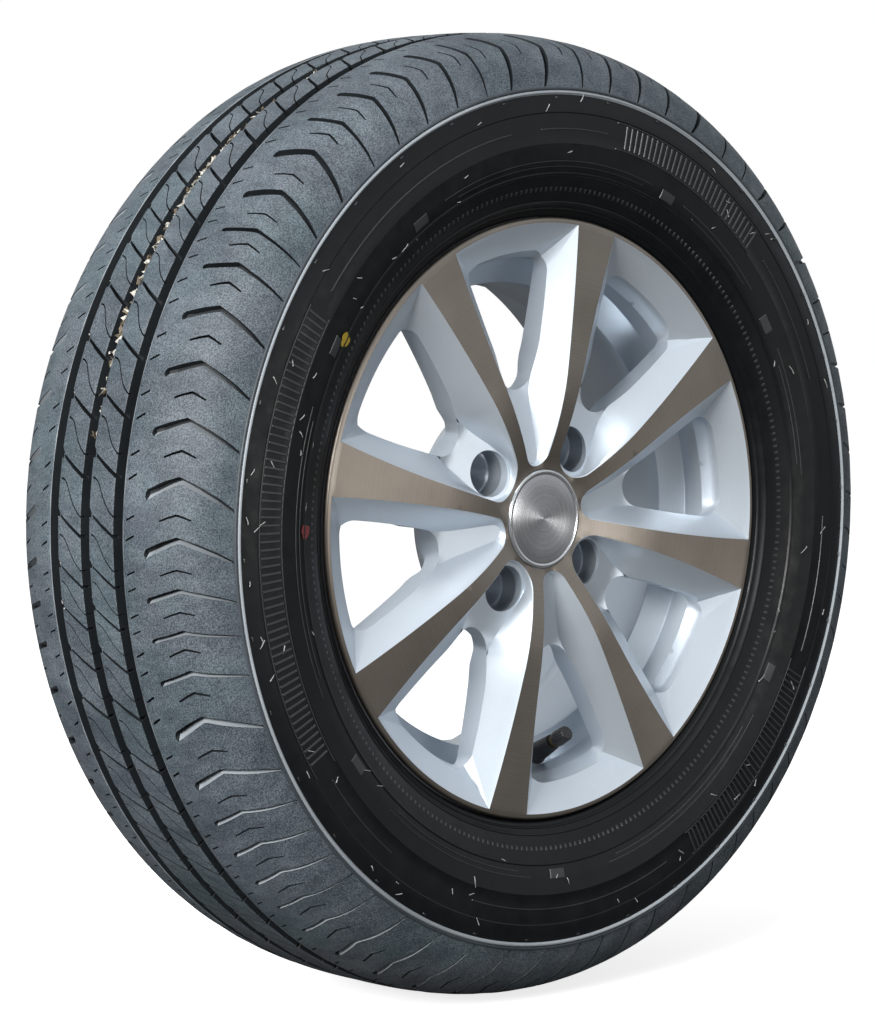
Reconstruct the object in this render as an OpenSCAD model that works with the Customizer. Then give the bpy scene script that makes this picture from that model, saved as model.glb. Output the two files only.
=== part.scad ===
// Wheel and tyre assembly: 13 inch cast wheel with a machined eight-spoke face,
// radial road tyre, snap-in centre cap and snap-in rubber valve with its core.
// The axle lies along Y, the street side faces -Y and +Z is up.
// The origin is the middle of the tyre. Sizes are in millimetres.
// Each piece is drawn in a lathe frame, with the axle on local z and the street side up.

/* [Tyre] */
// Tread diameter at the crown
tyre_d = 589; // [585:0.5:593]
// Width over the side walls
section_w = 182; // [178:0.5:186]
// Diameter at which the side wall is widest
widest_d = 452.8; // [446:0.2:460]
// Width of each main groove
groove_w = 8; // [6:0.5:10]
// Depth of each main groove
groove_depth = 7.2; // [5:0.1:8]
// Distance from the middle groove to each side groove
groove_gap = 29.4; // [27:0.1:32]
// Width of a shoulder slot
slot_w = 3.4; // [2.5:0.1:4.5]
// Depth of a shoulder slot
slot_depth = 4.5; // [3:0.1:6]
// Thickness of the side wall
wall_t = 7; // [6:0.5:9]
// Thickness of rubber and belts under the crown
crown_t = 13.5; // [12:0.5:16]

/* [Rim] */
// Bead seat diameter at the heel
seat_d = 329.4; // [328.8:0.1:330]
// Width between the two tyre flanges
rim_w = 127; // [125:0.5:129]
// Diameter over the flanges
flange_d = 364; // [362:0.5:366]
// Diameter of the well on the tyre side
well_d = 295; // [292:0.5:298]
// Wall of the well
well_t = 5; // [4.5:0.1:6]
// Clear bore of the barrel behind the spokes
barrel_d = 316; // [314:0.5:318]
// Mounting face's distance from the middle plane
offset = 30; // [27:0.5:33]
// Hub bore diameter
bore_d = 60.1; // [57.1:0.1:60.3]
// Bolt circle diameter
bolt_circle = 100; // [98:1:101]
// Bolt hole diameter
bolt_hole_d = 14; // [13:0.1:15]
// Mouth of each bolt pocket
bolt_pocket_d = 28; // [26:0.5:29]

/* [Machined face] */
// Height of the face at the lip
face_z = 76.8; // [76:0.1:77.5]
// Rise of the face from the lip to its crown
face_rise = 1.7; // [1:0.1:2.5]
// Radius of the crown, where the face starts to dish
crown_r = 90; // [86:1:94]
// Radius of the curve down to the hub
dish_r = 176; // [172:1:182]
// Outer radius of the cone inside the lip
lip_r = 178.5; // [177:0.1:179]
// Radius at which the windows go through
hole_out_r = 162; // [161:0.1:163]
// Depth of the windows' side bevels at the rim
bevel_drop = 11.3; // [10.5:0.1:12]

/* [Windows] */
// Distance from the axle to a plain window's tip
plain_tip = 32.7; // [32.4:0.1:34]
// Tip radius of a plain window
plain_tip_r = 10; // [9:0.1:11]
// Half width of a plain window at the lip
plain_half_w = 51.9; // [51:0.1:52.5]
// Side radius of a plain window
plain_side_r = 1200; // [1000:50:1600]
// Distance from the axle to a bolt window's tip
bolt_tip = 32.5; // [32.3:0.1:34]
// Tip radius of a bolt window
bolt_tip_r = 16; // [15:0.1:17]
// Half width of a bolt window at the lip
bolt_half_w = 54.6; // [54:0.1:55.2]
// Side radius of a bolt window
bolt_side_r = 880; // [800:20:1100]
// Distance from the axle to each through hole's tip
hole_tip = 79.6; // [78:0.1:81]
// Tip radius of each through hole
hole_tip_r = 13.5; // [12.5:0.1:14]
// Half width of a plain through hole near the rim
plain_hole_w = 31.5; // [31:0.1:32]
// Half width of a bolt window's through hole near the rim
bolt_hole_w = 33.5; // [33:0.1:34]
// Corner radius of each through hole
hole_corner_r = 11; // [9:0.5:12]
// Turn of the window pattern from the level
window_turn = 10; // [0:1:20]

/* [Centre cap] */
// Cap diameter
cap_d = 60; // [59:0.1:60.2]
// Height of the cap's front
cap_z = 70.2; // [69.8:0.1:71]
// Diameter of the brushed disc
disc_d = 54; // [52:0.5:55]
// Thickness of the brushed disc
disc_t = 0.8; // [0.5:0.1:1]
// Number of clip legs
leg_n = 8; // [6:1:10]
// Wire of the ring that spreads the legs
ring_wire = 1.6; // [1.2:0.1:1.8]

/* [Valve] */
// Angle of the valve from the level
valve_angle = 280; // [276:1:284]
// Valve hole in the rim
valve_hole_d = 11.3; // [11.1:0.1:11.5]
// Bulb of the rubber body in the tyre
bulb_d = 15.5; // [14.5:0.1:16.5]
// Collar of the rubber body outside the rim
collar_d = 14; // [13:0.1:15]
// Length of the brass stem outside the rim
stem_out = 30; // [28:0.5:31]
// Stem diameter over its thread
stem_d = 7.7; // [7.5:0.1:7.8]
// Bore of the stem at the core plug
stem_bore_d = 5.3; // [5.1:0.1:5.5]
// Dust cap diameter
dust_cap_d = 10; // [9.5:0.1:10.5]
// Dust cap length
dust_cap_len = 11; // [10:0.5:12]
// Core pin diameter
pin_d = 1; // [0.8:0.1:1.1]
// Turns of the core spring
spring_turns = 7; // [5:1:8]

/* [Clearances] */
// Between the tyre bead and the rim
bead_gap = 0.15; // [0.1:0.05:0.3]
// Between the cap and its seat in the wheel
cap_gap = 0.4; // [0.35:0.05:0.5]
// Around pieces that sit still inside others
seat_gap = 0.03; // [0.02:0.01:0.05]
// Radial clearance of the sliding core pin
pin_gap = 0.3; // [0.25:0.05:0.35]
// Radial clearance between the dust cap and the stem
dust_gap = 0.3; // [0.25:0.05:0.35]

/* [Hidden] */
// Smoothness of turned pieces
$fn = 96;
// Tread half profile
crown_out_r = tyre_d / 2;
widest_r = widest_d / 2;
half_w = section_w / 2;
// Power of the curve from the crown to the widest point
shoulder_power = 3.19;
// Inside of the tyre
inner_crown_r = crown_out_r - crown_t;
inner_half_w = half_w - wall_t + 0.5;
inner_power = 2.8;
// Short, middle and long tread pitches, in degrees, from slot_start up
short_pitch = 4.75;
middle_pitch = 5.65;
long_pitch = 6.65;
slot_start = 82.2;
pitch_code = str("MMLMSMMMMLMSMLLLLMSSMLMSSSSMLLLLLMS", "MMLMMSMMLLMSSMMLMMSMLMMSMLMM");
// Rim landmarks
seat_r = seat_d / 2;
flange_r = flange_d / 2;
flange_z = rim_w / 2;
curl_r = 9.5;
curl_c = flange_r - curl_r;
well_r = well_d / 2;
well_in_r = well_r - well_t;
barrel_r = barrel_d / 2;
// The slope between the well and the street side seat, which carries the valve
slope_a = 28.4;
slope_top_z = 39;
slope_bot_z = slope_top_z - (barrel_r - well_in_r) * tan(slope_a);
// Radius and height where the valve's axis leaves the slope
valve_r = 151.5;
valve_z = slope_top_z - (barrel_r - valve_r) * tan(slope_a);
// Disc behind the spokes
disc_back_z = offset + 20;
pad_r = 71;
// Heights on the face and in the windows
crown_z = face_z + face_rise;
hub_r = 33;
crease_out_z = face_z - bevel_drop;
crease_tip_z = 59.6;
floor_in_z = 66.5;
// Cap seat and clip bore in the wheel
cap_seat_r = cap_d / 2 + cap_gap;
clip_bore_r = 28;
clip_groove_r = 28.9;
cap_skirt_z = 64.8;
bore_end_z = 52;

// Rounded corner points about a centre
function arc_pts(cx, cy, r, a0, a1, n) =
  [for (i = [0:n]) [cx + r * cos(a0 + (a1 - a0) * i / n), cy + r * sin(a0 + (a1 - a0) * i / n)]];

// Centre that lies ra from point a and rb from point b, to the left of a to b
function meet(a, ra, b, rb) =
  let (d = norm(b - a))
  let (u = (b - a) / d)
  let (m = (ra * ra - rb * rb + d * d) / (2 * d))
  let (h = sqrt(max(0, ra * ra - m * m)))
  [a[0] + m * u[0] - h * u[1], a[1] + m * u[1] + h * u[0]];

// Height of the machined face at radius r
function face_h(r) =
  r >= crown_r ? crown_z - face_rise * (r - crown_r) / (180.2 - crown_r)
  : r >= hub_r ? crown_z - dish_r + sqrt(dish_r * dish_r - (crown_r - r) * (crown_r - r))
  : crown_z - dish_r + sqrt(dish_r * dish_r - (crown_r - hub_r) * (crown_r - hub_r));

// Tyre surface from the crown to the widest point, n steps
function shoulder_pts(rc, hw, power, n) =
  [for (i = [0:n]) let (t = 90 * (n - i) / n)
    [widest_r + (rc - widest_r) * pow(sin(t), 2 / power), hw * pow(cos(t), 2 / power)]];

// Height from the middle plane of the tread surface at radius r
function tread_z(r) =
  half_w * pow(1 - pow((r - widest_r) / (crown_out_r - widest_r), shoulder_power), 1 / shoulder_power);

// Lay a piece drawn in the lathe frame over, axle along Y
module lay() {
  rotate([90, 0, 0]) children();
}

// Section of the tyre, one closed outline through both beads
module tyre_section() {
  outer = shoulder_pts(crown_out_r, half_w, shoulder_power, 12);
  inner = shoulder_pts(inner_crown_r, inner_half_w, inner_power, 8);
  low = [
    [212, half_w - 2.2],
    [199, half_w - 6.8],
    [190, half_w - 12.2],
    [flange_r + 2.6, flange_z + 12.2],
    [flange_r + 1.2, flange_z + 10.2]
  ];
  curl = arc_pts(curl_c, flange_z + curl_r, (curl_r + bead_gap) / cos(5), 0, -90, 9);
  bead = [
    [seat_r + 4, flange_z - bead_gap],
    [seat_r + bead_gap, flange_z - 3.5 - bead_gap],
    [seat_r - 1.2 + bead_gap, flange_z - 17],
    [seat_r - 0.4, flange_z - 18.6],
    [seat_r + 2.6, flange_z - 18.2],
    [seat_r + 12, flange_z - 9],
    [seat_r + 24, flange_z + 5.5],
    [seat_r + 38, half_w - wall_t - 7]
  ];
  inner_up = [for (i = [len(inner) - 1:-1:0]) inner[i]];
  street = concat([for (i = [1:len(outer) - 1]) outer[i]], low, curl, bead, inner_up);
  back = [for (i = [len(street) - 1:-1:0]) if (street[i][1] > 0.001) [street[i][0], -street[i][1]]];
  polygon(concat([outer[0]], street, back));
}

// One main groove
module groove(z) {
  translate([crown_out_r - groove_depth, z])
    polygon([[0, -groove_w / 2 + 0.7], [20, -groove_w / 2 - 0.7], [20, groove_w / 2 + 0.7], [0, groove_w / 2 - 0.7]]);
}

// Angle of tread pitch k
function pitch_of(c) = c == "S" ? short_pitch : c == "L" ? long_pitch : middle_pitch;
function pitch_sum(k) = k == 0 ? 0 : pitch_sum(k - 1) + pitch_of(pitch_code[k - 1]);

// Cutter of one slot limb, from radius ra at angle a to radius rb at angle b, depth d
module slot_limb(ra, rb, a, b, w, d) {
  pa = [ra, tread_z(ra)];
  pb = [rb, tread_z(rb)];
  run = norm(pb - pa);
  lean = atan2(pb[0] - pa[0], pb[1] - pa[1]);
  shift = (ra + rb) / 2 * sin(b - a);
  mid = (pa + pb) / 2;
  rotate([0, 0, (a + b) / 2])
    translate([mid[0], 0, mid[1]])
    rotate([0, lean, 0])
    rotate([-atan2(shift, run), 0, 0])
    translate([-d, -w / 2, -norm([run, shift]) / 2])
    cube([d + 12, w, norm([run, shift])]);
}

// Shoulder slots of one side, one to a pitch
module shoulder_slots(scale_a) {
  for (k = [0:len(pitch_code) - 1]) {
    a = slot_start + pitch_sum(k) * scale_a;
    slot_limb(291.4, 284.5, a - 0.8, a - 2.2, slot_w, slot_depth);
    slot_limb(285.2, 272, a - 2.3, a - 1.2, slot_w * 0.7, slot_depth * 0.6);
  }
}

module tyre() {
  scale_a = 360 / pitch_sum(len(pitch_code));
  color([0.05, 0.055, 0.06])
    lay()
    difference() {
      rotate_extrude()
        difference() {
          tyre_section();
          groove(0);
          groove(groove_gap);
          groove(-groove_gap);
        }
      shoulder_slots(scale_a);
      rotate([180, 0, 0]) shoulder_slots(scale_a);
    }
}

// Section of the casting, hub to inboard lip, before the windows are cut
function face_pts() = [for (r = [hub_r, 40, 48, 57, 66, 75, 84, crown_r]) [r, face_h(r)]];

module casting_section() {
  fz = flange_z;
  lip = [[180.2, face_z], [flange_r - 0.6, face_z - 1.1], [flange_r, face_z - 2.6]];
  street_curl = arc_pts(curl_c, fz + curl_r, curl_r, 0, -90, 6);
  street_seat = [
    [seat_r + 4, fz],
    [seat_r, fz - 3.5],
    [seat_r - 1.3, fz - 18.5],
    [seat_r + 0.6, fz - 21],
    [seat_r - 0.4, fz - 23],
    [seat_r - 1.5, fz - 24]
  ];
  slope_out = [
    [seat_r - 1.5, slope_bot_z + (seat_r - 1.5 - well_in_r) * tan(slope_a) - well_t / cos(slope_a)],
    [well_r, slope_bot_z + well_t * tan(slope_a) - well_t / cos(slope_a)]
  ];
  well = [[well_r, -10], [seat_r - 1.5, -fz + 24], [seat_r + 0.6, -fz + 21], [seat_r - 1.3, -fz + 18.5]];
  back_seat = [[seat_r, -fz + 3.5], [seat_r + 4, -fz]];
  back_curl = arc_pts(curl_c, -fz - curl_r, curl_r, 90, 14, 6);
  back_lip = [
    [flange_r - 0.3, -fz - 8.6],
    [flange_r - 1.4, -fz - 9.9],
    [flange_r - 3.4, -fz - 9.4],
    [flange_r - 6.4, -fz - 5.6],
    [flange_r - 11, -fz - 4.2],
    [barrel_r + 6, -fz - 3],
    [barrel_r + 1.2, -fz + 1.5]
  ];
  barrel = [
    [barrel_r, -fz + 12],
    [barrel_r, -39],
    [well_in_r, -12.5],
    [well_in_r, slope_bot_z],
    [barrel_r, slope_top_z],
    [barrel_r, disc_back_z + 4],
    [150, disc_back_z + 2],
    [86, disc_back_z - 3],
    [79, disc_back_z - 5],
    [pad_r + 4, offset + 5],
    [pad_r, offset],
    [0, offset]
  ];
  polygon(concat([[0, face_h(hub_r)]], face_pts(), lip, street_curl, street_seat, slope_out,
    well, back_seat, back_curl, back_lip, barrel));
}

// Outline of a window on the face, from the lip corner round to the tip
function face_side(tip, tip_r, half, side_r) =
  let (corner = [sqrt(lip_r * lip_r - half * half), half])
  let (round_c = [tip + tip_r, 0])
  let (c = meet(corner, side_r, round_c, side_r - tip_r))
  let (a_out = atan2(corner[1] - c[1], corner[0] - c[0]))
  let (a_far = a_out - 12 / side_r * 57.3)
  let (a_in = atan2(round_c[1] - c[1], round_c[0] - c[0]))
  concat(arc_pts(c[0], c[1], side_r, a_far, a_in, 9),
    arc_pts(round_c[0], 0, tip_r, a_in + (180 - a_in) / 7, 180, 6));

// Half outline of a through hole, from beyond its rim side round to its tip, grown by g
function hole_side(half, side_r, g) =
  let (near = [145, half + g])
  let (round_c = [hole_tip + hole_tip_r, 0])
  let (tr = hole_tip_r + g)
  let (c = meet(near, side_r, round_c, side_r - tr))
  let (k_r = hole_corner_r)
  let (k = meet([0, 0], hole_out_r + 0.4 - k_r, c, side_r - k_r))
  let (a_k0 = atan2(k[1], k[0]))
  let (a_k1 = atan2(k[1] - c[1], k[0] - c[0]))
  let (a_in = atan2(round_c[1] - c[1], round_c[0] - c[0]))
  concat([[hole_out_r + 6, 0], [(hole_out_r + 6) * cos(a_k0), (hole_out_r + 6) * sin(a_k0)]],
    arc_pts(k[0], k[1], k_r, a_k0, a_k1, 6),
    arc_pts(c[0], c[1], side_r, a_k1 + (a_in - a_k1) / 6, a_in, 5),
    arc_pts(round_c[0], 0, tr, a_in + (180 - a_in) / 8, 180, 7));

// Half width of the crease at the foot of the side bevels, at distance x from the axle
function crease_w(x, half, near) = lookup(x, concat(near, [[104, 13 + (half - 31.5) * 0.6 + 5.2],
  [145, half - 0.3], [186, half - 0.3 + 41 * 0.3]]));
// Height of the crease
function crease_h(x) = lookup(x, [[32, floor_in_z], [hole_tip, crease_tip_z], [106, crease_out_z - 0.6],
  [hole_out_r, crease_out_z]]);

// Solid that sinks one window into the face: side bevels, sloping floor and tip
module window_sink(side, half, near, tip_shift) {
  n = len(side) - 1;
  function foot_x(p, i) = p[0] + 4.2 - (4.2 - tip_shift) * max(0, min(1, (80 - p[0]) / 46));
  foot = [for (i = [0:n]) let (x = foot_x(side[i], i))
    [x, i == n ? 0 : min(side[i][1] - 0.4, crease_w(x, half, near)), crease_h(x)]];
  edge = [for (p = side) [p[0], p[1], face_h(norm(p))]];
  top = [for (i = [0:n]) edge[i] + 0.35 * (edge[i] - foot[i])];
  pts = concat(
    [for (i = [0:n - 1]) for (p = [top[i], [top[i][0], -top[i][1], top[i][2]],
      [foot[i][0], -foot[i][1], foot[i][2]], foot[i]]) p],
    [[top[n][0], 0, top[n][2]], [foot[n][0], 0, foot[n][2]]]);
  e = 4 * n;
  faces = concat(
    [[2, 1, 0], [3, 2, 0]],
    [for (i = [0:n - 2]) for (q = [0:3]) let (a = 4 * i + q) let (b = 4 * i + (q + 1) % 4)
      for (f = [[a, b, a + 4], [b, b + 4, a + 4]]) f],
    [[e - 4, e - 3, e], [e - 3, e + 1, e], [e - 3, e - 2, e + 1], [e - 2, e - 1, e + 1],
      [e - 1, e, e + 1], [e - 1, e - 4, e]]);
  polyhedron(points = pts, faces = faces, convexity = 4);
}

// Space inside the cone between the lip and the windows
module lip_cone() {
  slope = (face_z - crease_out_z - 0.4) / (lip_r - hole_out_r);
  rotate_extrude()
    polygon([[0, 44], [hole_out_r - 8, 44], [hole_out_r - 8, crease_out_z + 0.4 - 8 * slope],
      [lip_r + 12, face_z + 12 * slope], [lip_r + 12, 100], [0, 100]]);
}

// Space that the through holes may take, clear of the barrel's slope
module hole_reach() {
  rotate_extrude()
    polygon([[0, 36], [120, 36], [136, 43.5], [barrel_r - 2.2, 43.5], [hole_out_r, 62], [hole_out_r, 100], [0, 100]]);
}

module through_hole(half, side_r) {
  up = hole_side(half, side_r, 0.3);
  n = len(up) - 1;
  translate([0, 0, 30])
    linear_extrude(60)
    polygon(concat(up, [for (i = [n - 1:-1:1]) [up[i][0], -up[i][1]]]));
}

// Everything that one plain window takes out
module plain_window() {
  near = [[34, 0], [35, 2.1], [36, 3.3], [37.5, 4.2], [39, 4.6], [57, 6.8], [72, 8.2], [80, 10], [89, 13]];
  window_sink(face_side(plain_tip, plain_tip_r, plain_half_w, plain_side_r), plain_hole_w, near, 1.6);
}

// Everything that one bolt window takes out, its pocket apart
module bolt_window() {
  near = [[33.4, 0], [34.4, 5], [36, 8.2], [39, 11.4], [43, 13.8], [48, 14.8], [66, 14.4], [80, 13.6], [89, 15.2]];
  window_sink(face_side(bolt_tip, bolt_tip_r, bolt_half_w, bolt_side_r), bolt_hole_w, near, 0.9);
}

// Bolt pocket with its cone seat and hole
module bolt_pocket() {
  translate([bolt_circle / 2, 0, 0]) {
    translate([0, 0, 48.5]) cylinder(d = bolt_pocket_d, h = 30);
    translate([0, 0, 39]) cylinder(r1 = bolt_hole_d / 2, r2 = bolt_hole_d / 2 + 5.5, h = 9.52);
    translate([0, 0, offset - 1]) cylinder(d = bolt_hole_d, h = 12);
  }
}

// Shallow relief in the mounting face between two bolts
module pad_relief() {
  translate([0, 0, offset - 1])
    linear_extrude(8)
    polygon(concat(arc_pts(0, 0, 66, -22, 22, 6), arc_pts(0, 0, 42, 14, -14, 4)));
}

// Cored pocket behind a spoke
module spoke_core() {
  translate([0, 0, disc_back_z - 8])
    linear_extrude(15)
    polygon(concat([[98, -6.4], [144, -12.6]], arc_pts(0, 0, 149, -4.4, 4.4, 3), [[144, 12.6], [98, 6.4], [95, 0]]));
}

// Place children on the valve's axis, w = 0 where it leaves the rim
module on_valve() {
  rotate([0, 0, valve_angle])
    translate([valve_r, 0, valve_z])
    rotate([0, -slope_a, 0])
    children();
}

module hub_bore() {
  translate([0, 0, offset - 1]) cylinder(d = bore_d, h = bore_end_z - offset + 1);
  translate([0, 0, bore_end_z - 1]) cylinder(r = clip_bore_r, h = 30);
  translate([0, 0, 54.6]) cylinder(r1 = clip_bore_r, r2 = clip_groove_r, h = 1.4);
  translate([0, 0, 56]) cylinder(r1 = clip_groove_r, r2 = clip_bore_r, h = 2.4);
  translate([0, 0, cap_skirt_z - 0.3]) cylinder(r = cap_seat_r, h = 20);
}

module alloy_rim() {
  color([0.68, 0.69, 0.71])
    lay()
    difference() {
      rotate_extrude() casting_section();
      intersection() {
        lip_cone();
        for (q = [0:3]) {
          rotate([0, 0, window_turn + 90 * q]) plain_window();
          rotate([0, 0, window_turn + 45 + 90 * q]) bolt_window();
        }
      }
      intersection() {
        hole_reach();
        for (q = [0:3]) {
          rotate([0, 0, window_turn + 90 * q]) through_hole(plain_hole_w, 700);
          rotate([0, 0, window_turn + 45 + 90 * q]) through_hole(bolt_hole_w, 450);
        }
      }
      for (q = [0:3]) {
        rotate([0, 0, window_turn + 45 + 90 * q]) bolt_pocket();
        rotate([0, 0, window_turn + 90 * q]) pad_relief();
      }
      for (q = [0:7]) rotate([0, 0, window_turn + 22.5 + 45 * q]) spoke_core();
      hub_bore();
      on_valve() translate([0, 0, -10]) cylinder(d = valve_hole_d, h = 15);
    }
}

// Centre cap: rim, dished front seat and clip legs in one moulding
module cap_body() {
  rc = cap_d / 2;
  dz = cap_z - disc_t - 0.5;
  color([0.62, 0.63, 0.65])
    lay() {
      rotate_extrude()
        polygon([[0, dz], [disc_d / 2 + seat_gap, dz], [disc_d / 2 + 0.5, cap_z], [rc - 0.9, cap_z + 0.1],
          [rc - 0.2, cap_z - 0.5], [rc, cap_z - 1.3], [rc, cap_skirt_z], [rc - 2, cap_skirt_z],
          [rc - 2, dz - 2.2], [0, dz - 2.2]]);
      for (k = [0:leg_n - 1]) rotate([0, 0, 360 / leg_n * (k + 0.5)]) cap_leg(dz);
    }
}

module cap_leg(dz) {
  spread = 2 * asin(5 / 27);
  rotate([0, 0, -spread / 2])
    rotate_extrude(angle = spread)
    polygon([[24.4, 54], [26.6, 54], [28.3, 56], [28.3, 56.6], [27.4, 58.4], [27.4, dz - 1.8], [25.2, dz - 1.8],
      [25.2, 57.6], [24.4, 57]]);
}

// Brushed disc in the cap's front
module cap_disc() {
  dz = cap_z - disc_t - 0.5 + seat_gap;
  color([0.6, 0.6, 0.6])
    lay()
    rotate_extrude()
    polygon([[0, dz], [disc_d / 2, dz], [disc_d / 2, dz + disc_t - 0.2], [disc_d / 2 - 0.3, dz + disc_t], [0, dz + disc_t]]);
}

// Wire ring that keeps the clip legs spread
module cap_ring() {
  color([0.5, 0.51, 0.52])
    lay()
    rotate_extrude()
    translate([25.2 - ring_wire / 2 - seat_gap, 59.4])
    circle(d = ring_wire, $fn = 24);
}

// Valve heights along its own axis, from the rim's street side
stem_in = -10;
plug_hi = 28.5;
plug_lo = 23.2;
seat_w = 15.5;
barrel_lo = 8;
pin_top = 29.2;
plug_r = stem_bore_d / 2 - seat_gap;
core_r = 1.9;
spring_lo = 9.6;
spring_hi = 18;

module valve_rubber() {
  hole_r = valve_hole_d / 2 - seat_gap;
  color([0.03, 0.03, 0.03])
    lay()
    on_valve()
    rotate_extrude()
    polygon([[core_r + 1.3, -12.5], [bulb_d / 2 - 1.6, -12.5], [bulb_d / 2, -10.5], [bulb_d / 2 - 0.4, -5.6], [hole_r, -5.1],
      [hole_r, 0.05], [collar_d / 2, 0.1], [collar_d / 2, 1.6], [collar_d / 2 - 0.9, 2.8], [6.3, 3.4], [5.1, 19.4],
      [4.7, 20], [core_r + 1.3, 20]]);
}

module valve_stem() {
  r = stem_d / 2;
  out_r = core_r + 1.3 - seat_gap;
  color([0.72, 0.58, 0.3])
    lay()
    on_valve()
    rotate_extrude()
    polygon(concat([[core_r, stem_in], [out_r, stem_in], [out_r, 20.3], [r, 20.9]], thread_pts(r, 21.4, 29, 0.8, 0.4),
      [[r, stem_out - 0.5], [r - 0.5, stem_out], [stem_bore_d / 2, stem_out], [stem_bore_d / 2, seat_w + 1.8],
        [core_r, seat_w]]));
}

// Ridges of a thread, drawn as rings
function thread_pts(r, z0, z1, pitch, depth) =
  [for (k = [0:floor((z1 - z0) / pitch) - 1]) for (p = [[r, z0 + k * pitch], [r - depth, z0 + (k + 0.5) * pitch]]) p];

// Threaded plug that holds the core in the stem
module core_plug() {
  color([0.75, 0.6, 0.32])
    lay()
    on_valve()
    difference() {
      translate([0, 0, plug_lo]) cylinder(r = plug_r, h = plug_hi - plug_lo);
      translate([0, 0, plug_lo - 1]) cylinder(r = pin_d / 2 + pin_gap, h = 10);
      for (s = [-1, 1]) translate([s * 2.6 - 1, -4, plug_hi - 2.4]) cube([2, 8, 3]);
    }
}

// Core body below the plug, with the spring's chamber
module core_barrel() {
  color([0.75, 0.6, 0.32])
    lay()
    on_valve()
    rotate_extrude()
    polygon([[pin_d / 2 + pin_gap, barrel_lo], [core_r - 0.2, barrel_lo], [core_r - 0.2, seat_w - 0.2], [core_r - 0.5, seat_w],
      [core_r - 0.5, seat_w + 2], [2.3, seat_w + 2.1], [2.3, plug_lo - seat_gap], [pin_d / 2 + pin_gap, plug_lo - seat_gap],
      [pin_d / 2 + pin_gap, spring_hi + 2.4], [core_r - 0.75, spring_hi + 2], [core_r - 0.75, spring_lo],
      [pin_d / 2 + pin_gap, spring_lo - 0.4]]);
}

// Sealing ring on the core, pressed on the stem's seat
module core_gasket() {
  color([0.8, 0.2, 0.15])
    lay()
    on_valve()
    rotate_extrude()
    polygon([[core_r - 0.5 + seat_gap, seat_w + 0.1], [core_r - 0.06, seat_w + 0.1], [2.42, seat_w + 1.6], [2.42, seat_w + 1.95],
      [core_r - 0.5 + seat_gap, seat_w + 1.95]]);
}

// Pin that is pressed to let air in or out, with the spring's collar
module core_pin() {
  color([0.78, 0.78, 0.8])
    lay()
    on_valve() {
      translate([0, 0, 5]) cylinder(d = pin_d, h = pin_top - 5);
      translate([0, 0, spring_hi - 0.4]) cylinder(r = core_r - 0.92, h = 0.5);
    }
}

// Cup at the pin's foot and the rubber seal in it
module core_cup() {
  color([0.75, 0.6, 0.32])
    lay()
    on_valve()
    rotate_extrude()
    polygon([[pin_d / 2 + seat_gap, 5.4], [core_r - 0.3, 5.4], [core_r - 0.3, 7.4], [core_r - 0.5, 7.4], [core_r - 0.5, 6],
      [pin_d / 2 + seat_gap, 6]]);
}

module core_seal() {
  color([0.1, 0.1, 0.1])
    lay()
    on_valve()
    rotate_extrude()
    polygon([[pin_d / 2 + seat_gap, 6 + seat_gap], [core_r - 0.5 - seat_gap, 6 + seat_gap], [core_r - 0.5 - seat_gap, barrel_lo - 0.05],
      [pin_d / 2 + seat_gap, barrel_lo - 0.05]]);
}

// Coil spring that holds the pin shut
module core_spring() {
  wire = 0.11;
  coil = core_r - 0.75 - wire - 0.06;
  steps = 12;
  n = spring_turns * steps;
  z0 = spring_lo + wire + 0.02;
  z1 = spring_hi - 0.4 - wire - 0.02;
  pts = [for (i = [0:n]) for (j = [0:4])
    let (a = 360 * i / steps) let (b = 72 * j)
    let (r = coil + wire * cos(b))
    [r * cos(a), r * sin(a), z0 + (z1 - z0) * i / n + wire * sin(b)]];
  sides = [for (i = [0:n - 1]) for (j = [0:4]) let (a = 5 * i + j) let (b = 5 * i + (j + 1) % 5)
    for (f = [[a, b, a + 5], [b, b + 5, a + 5]]) f];
  color([0.7, 0.7, 0.72])
    lay()
    on_valve()
    polyhedron(points = pts, faces = concat(sides, [[4, 3, 2, 1, 0], [for (j = [0:4]) 5 * n + j]]), convexity = 10);
}

// Screw cap over the stem
module dust_cap() {
  top = stem_out + 5.5;
  low = top - dust_cap_len;
  r = dust_cap_d / 2;
  bore = stem_d / 2 + dust_gap;
  color([0.02, 0.02, 0.02])
    lay()
    on_valve()
    difference() {
      rotate_extrude()
        polygon([[bore, low], [r - 0.3, low], [r, low + 0.6], [r - 0.35, top - 1.2], [r - 1.4, top], [0, top], [0, stem_out + 1.9],
          [bore, stem_out + 1.9]]);
      for (k = [0:11])
        rotate([0, 0, 30 * k]) translate([r + 0.45, 0, low + 2]) cylinder(r = 0.9, h = dust_cap_len, $fn = 12);
    }
}

module dust_cap_seal() {
  color([0.12, 0.12, 0.12])
    lay()
    on_valve()
    translate([0, 0, stem_out + 0.35])
    difference() {
      cylinder(r = stem_d / 2 + dust_gap - seat_gap, h = 1.5);
      translate([0, 0, -1]) cylinder(r = 1.6, h = 4);
    }
}

alloy_rim();
tyre();
cap_body();
cap_disc();
cap_ring();
valve_rubber();
valve_stem();
core_plug();
core_barrel();
core_gasket();
core_pin();
core_cup();
core_seal();
core_spring();
dust_cap();
dust_cap_seal();
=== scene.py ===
import math
import random

import bpy
import numpy as np
from mathutils import Matrix, Vector
from mathutils.geometry import delaunay_2d_cdt


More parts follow.
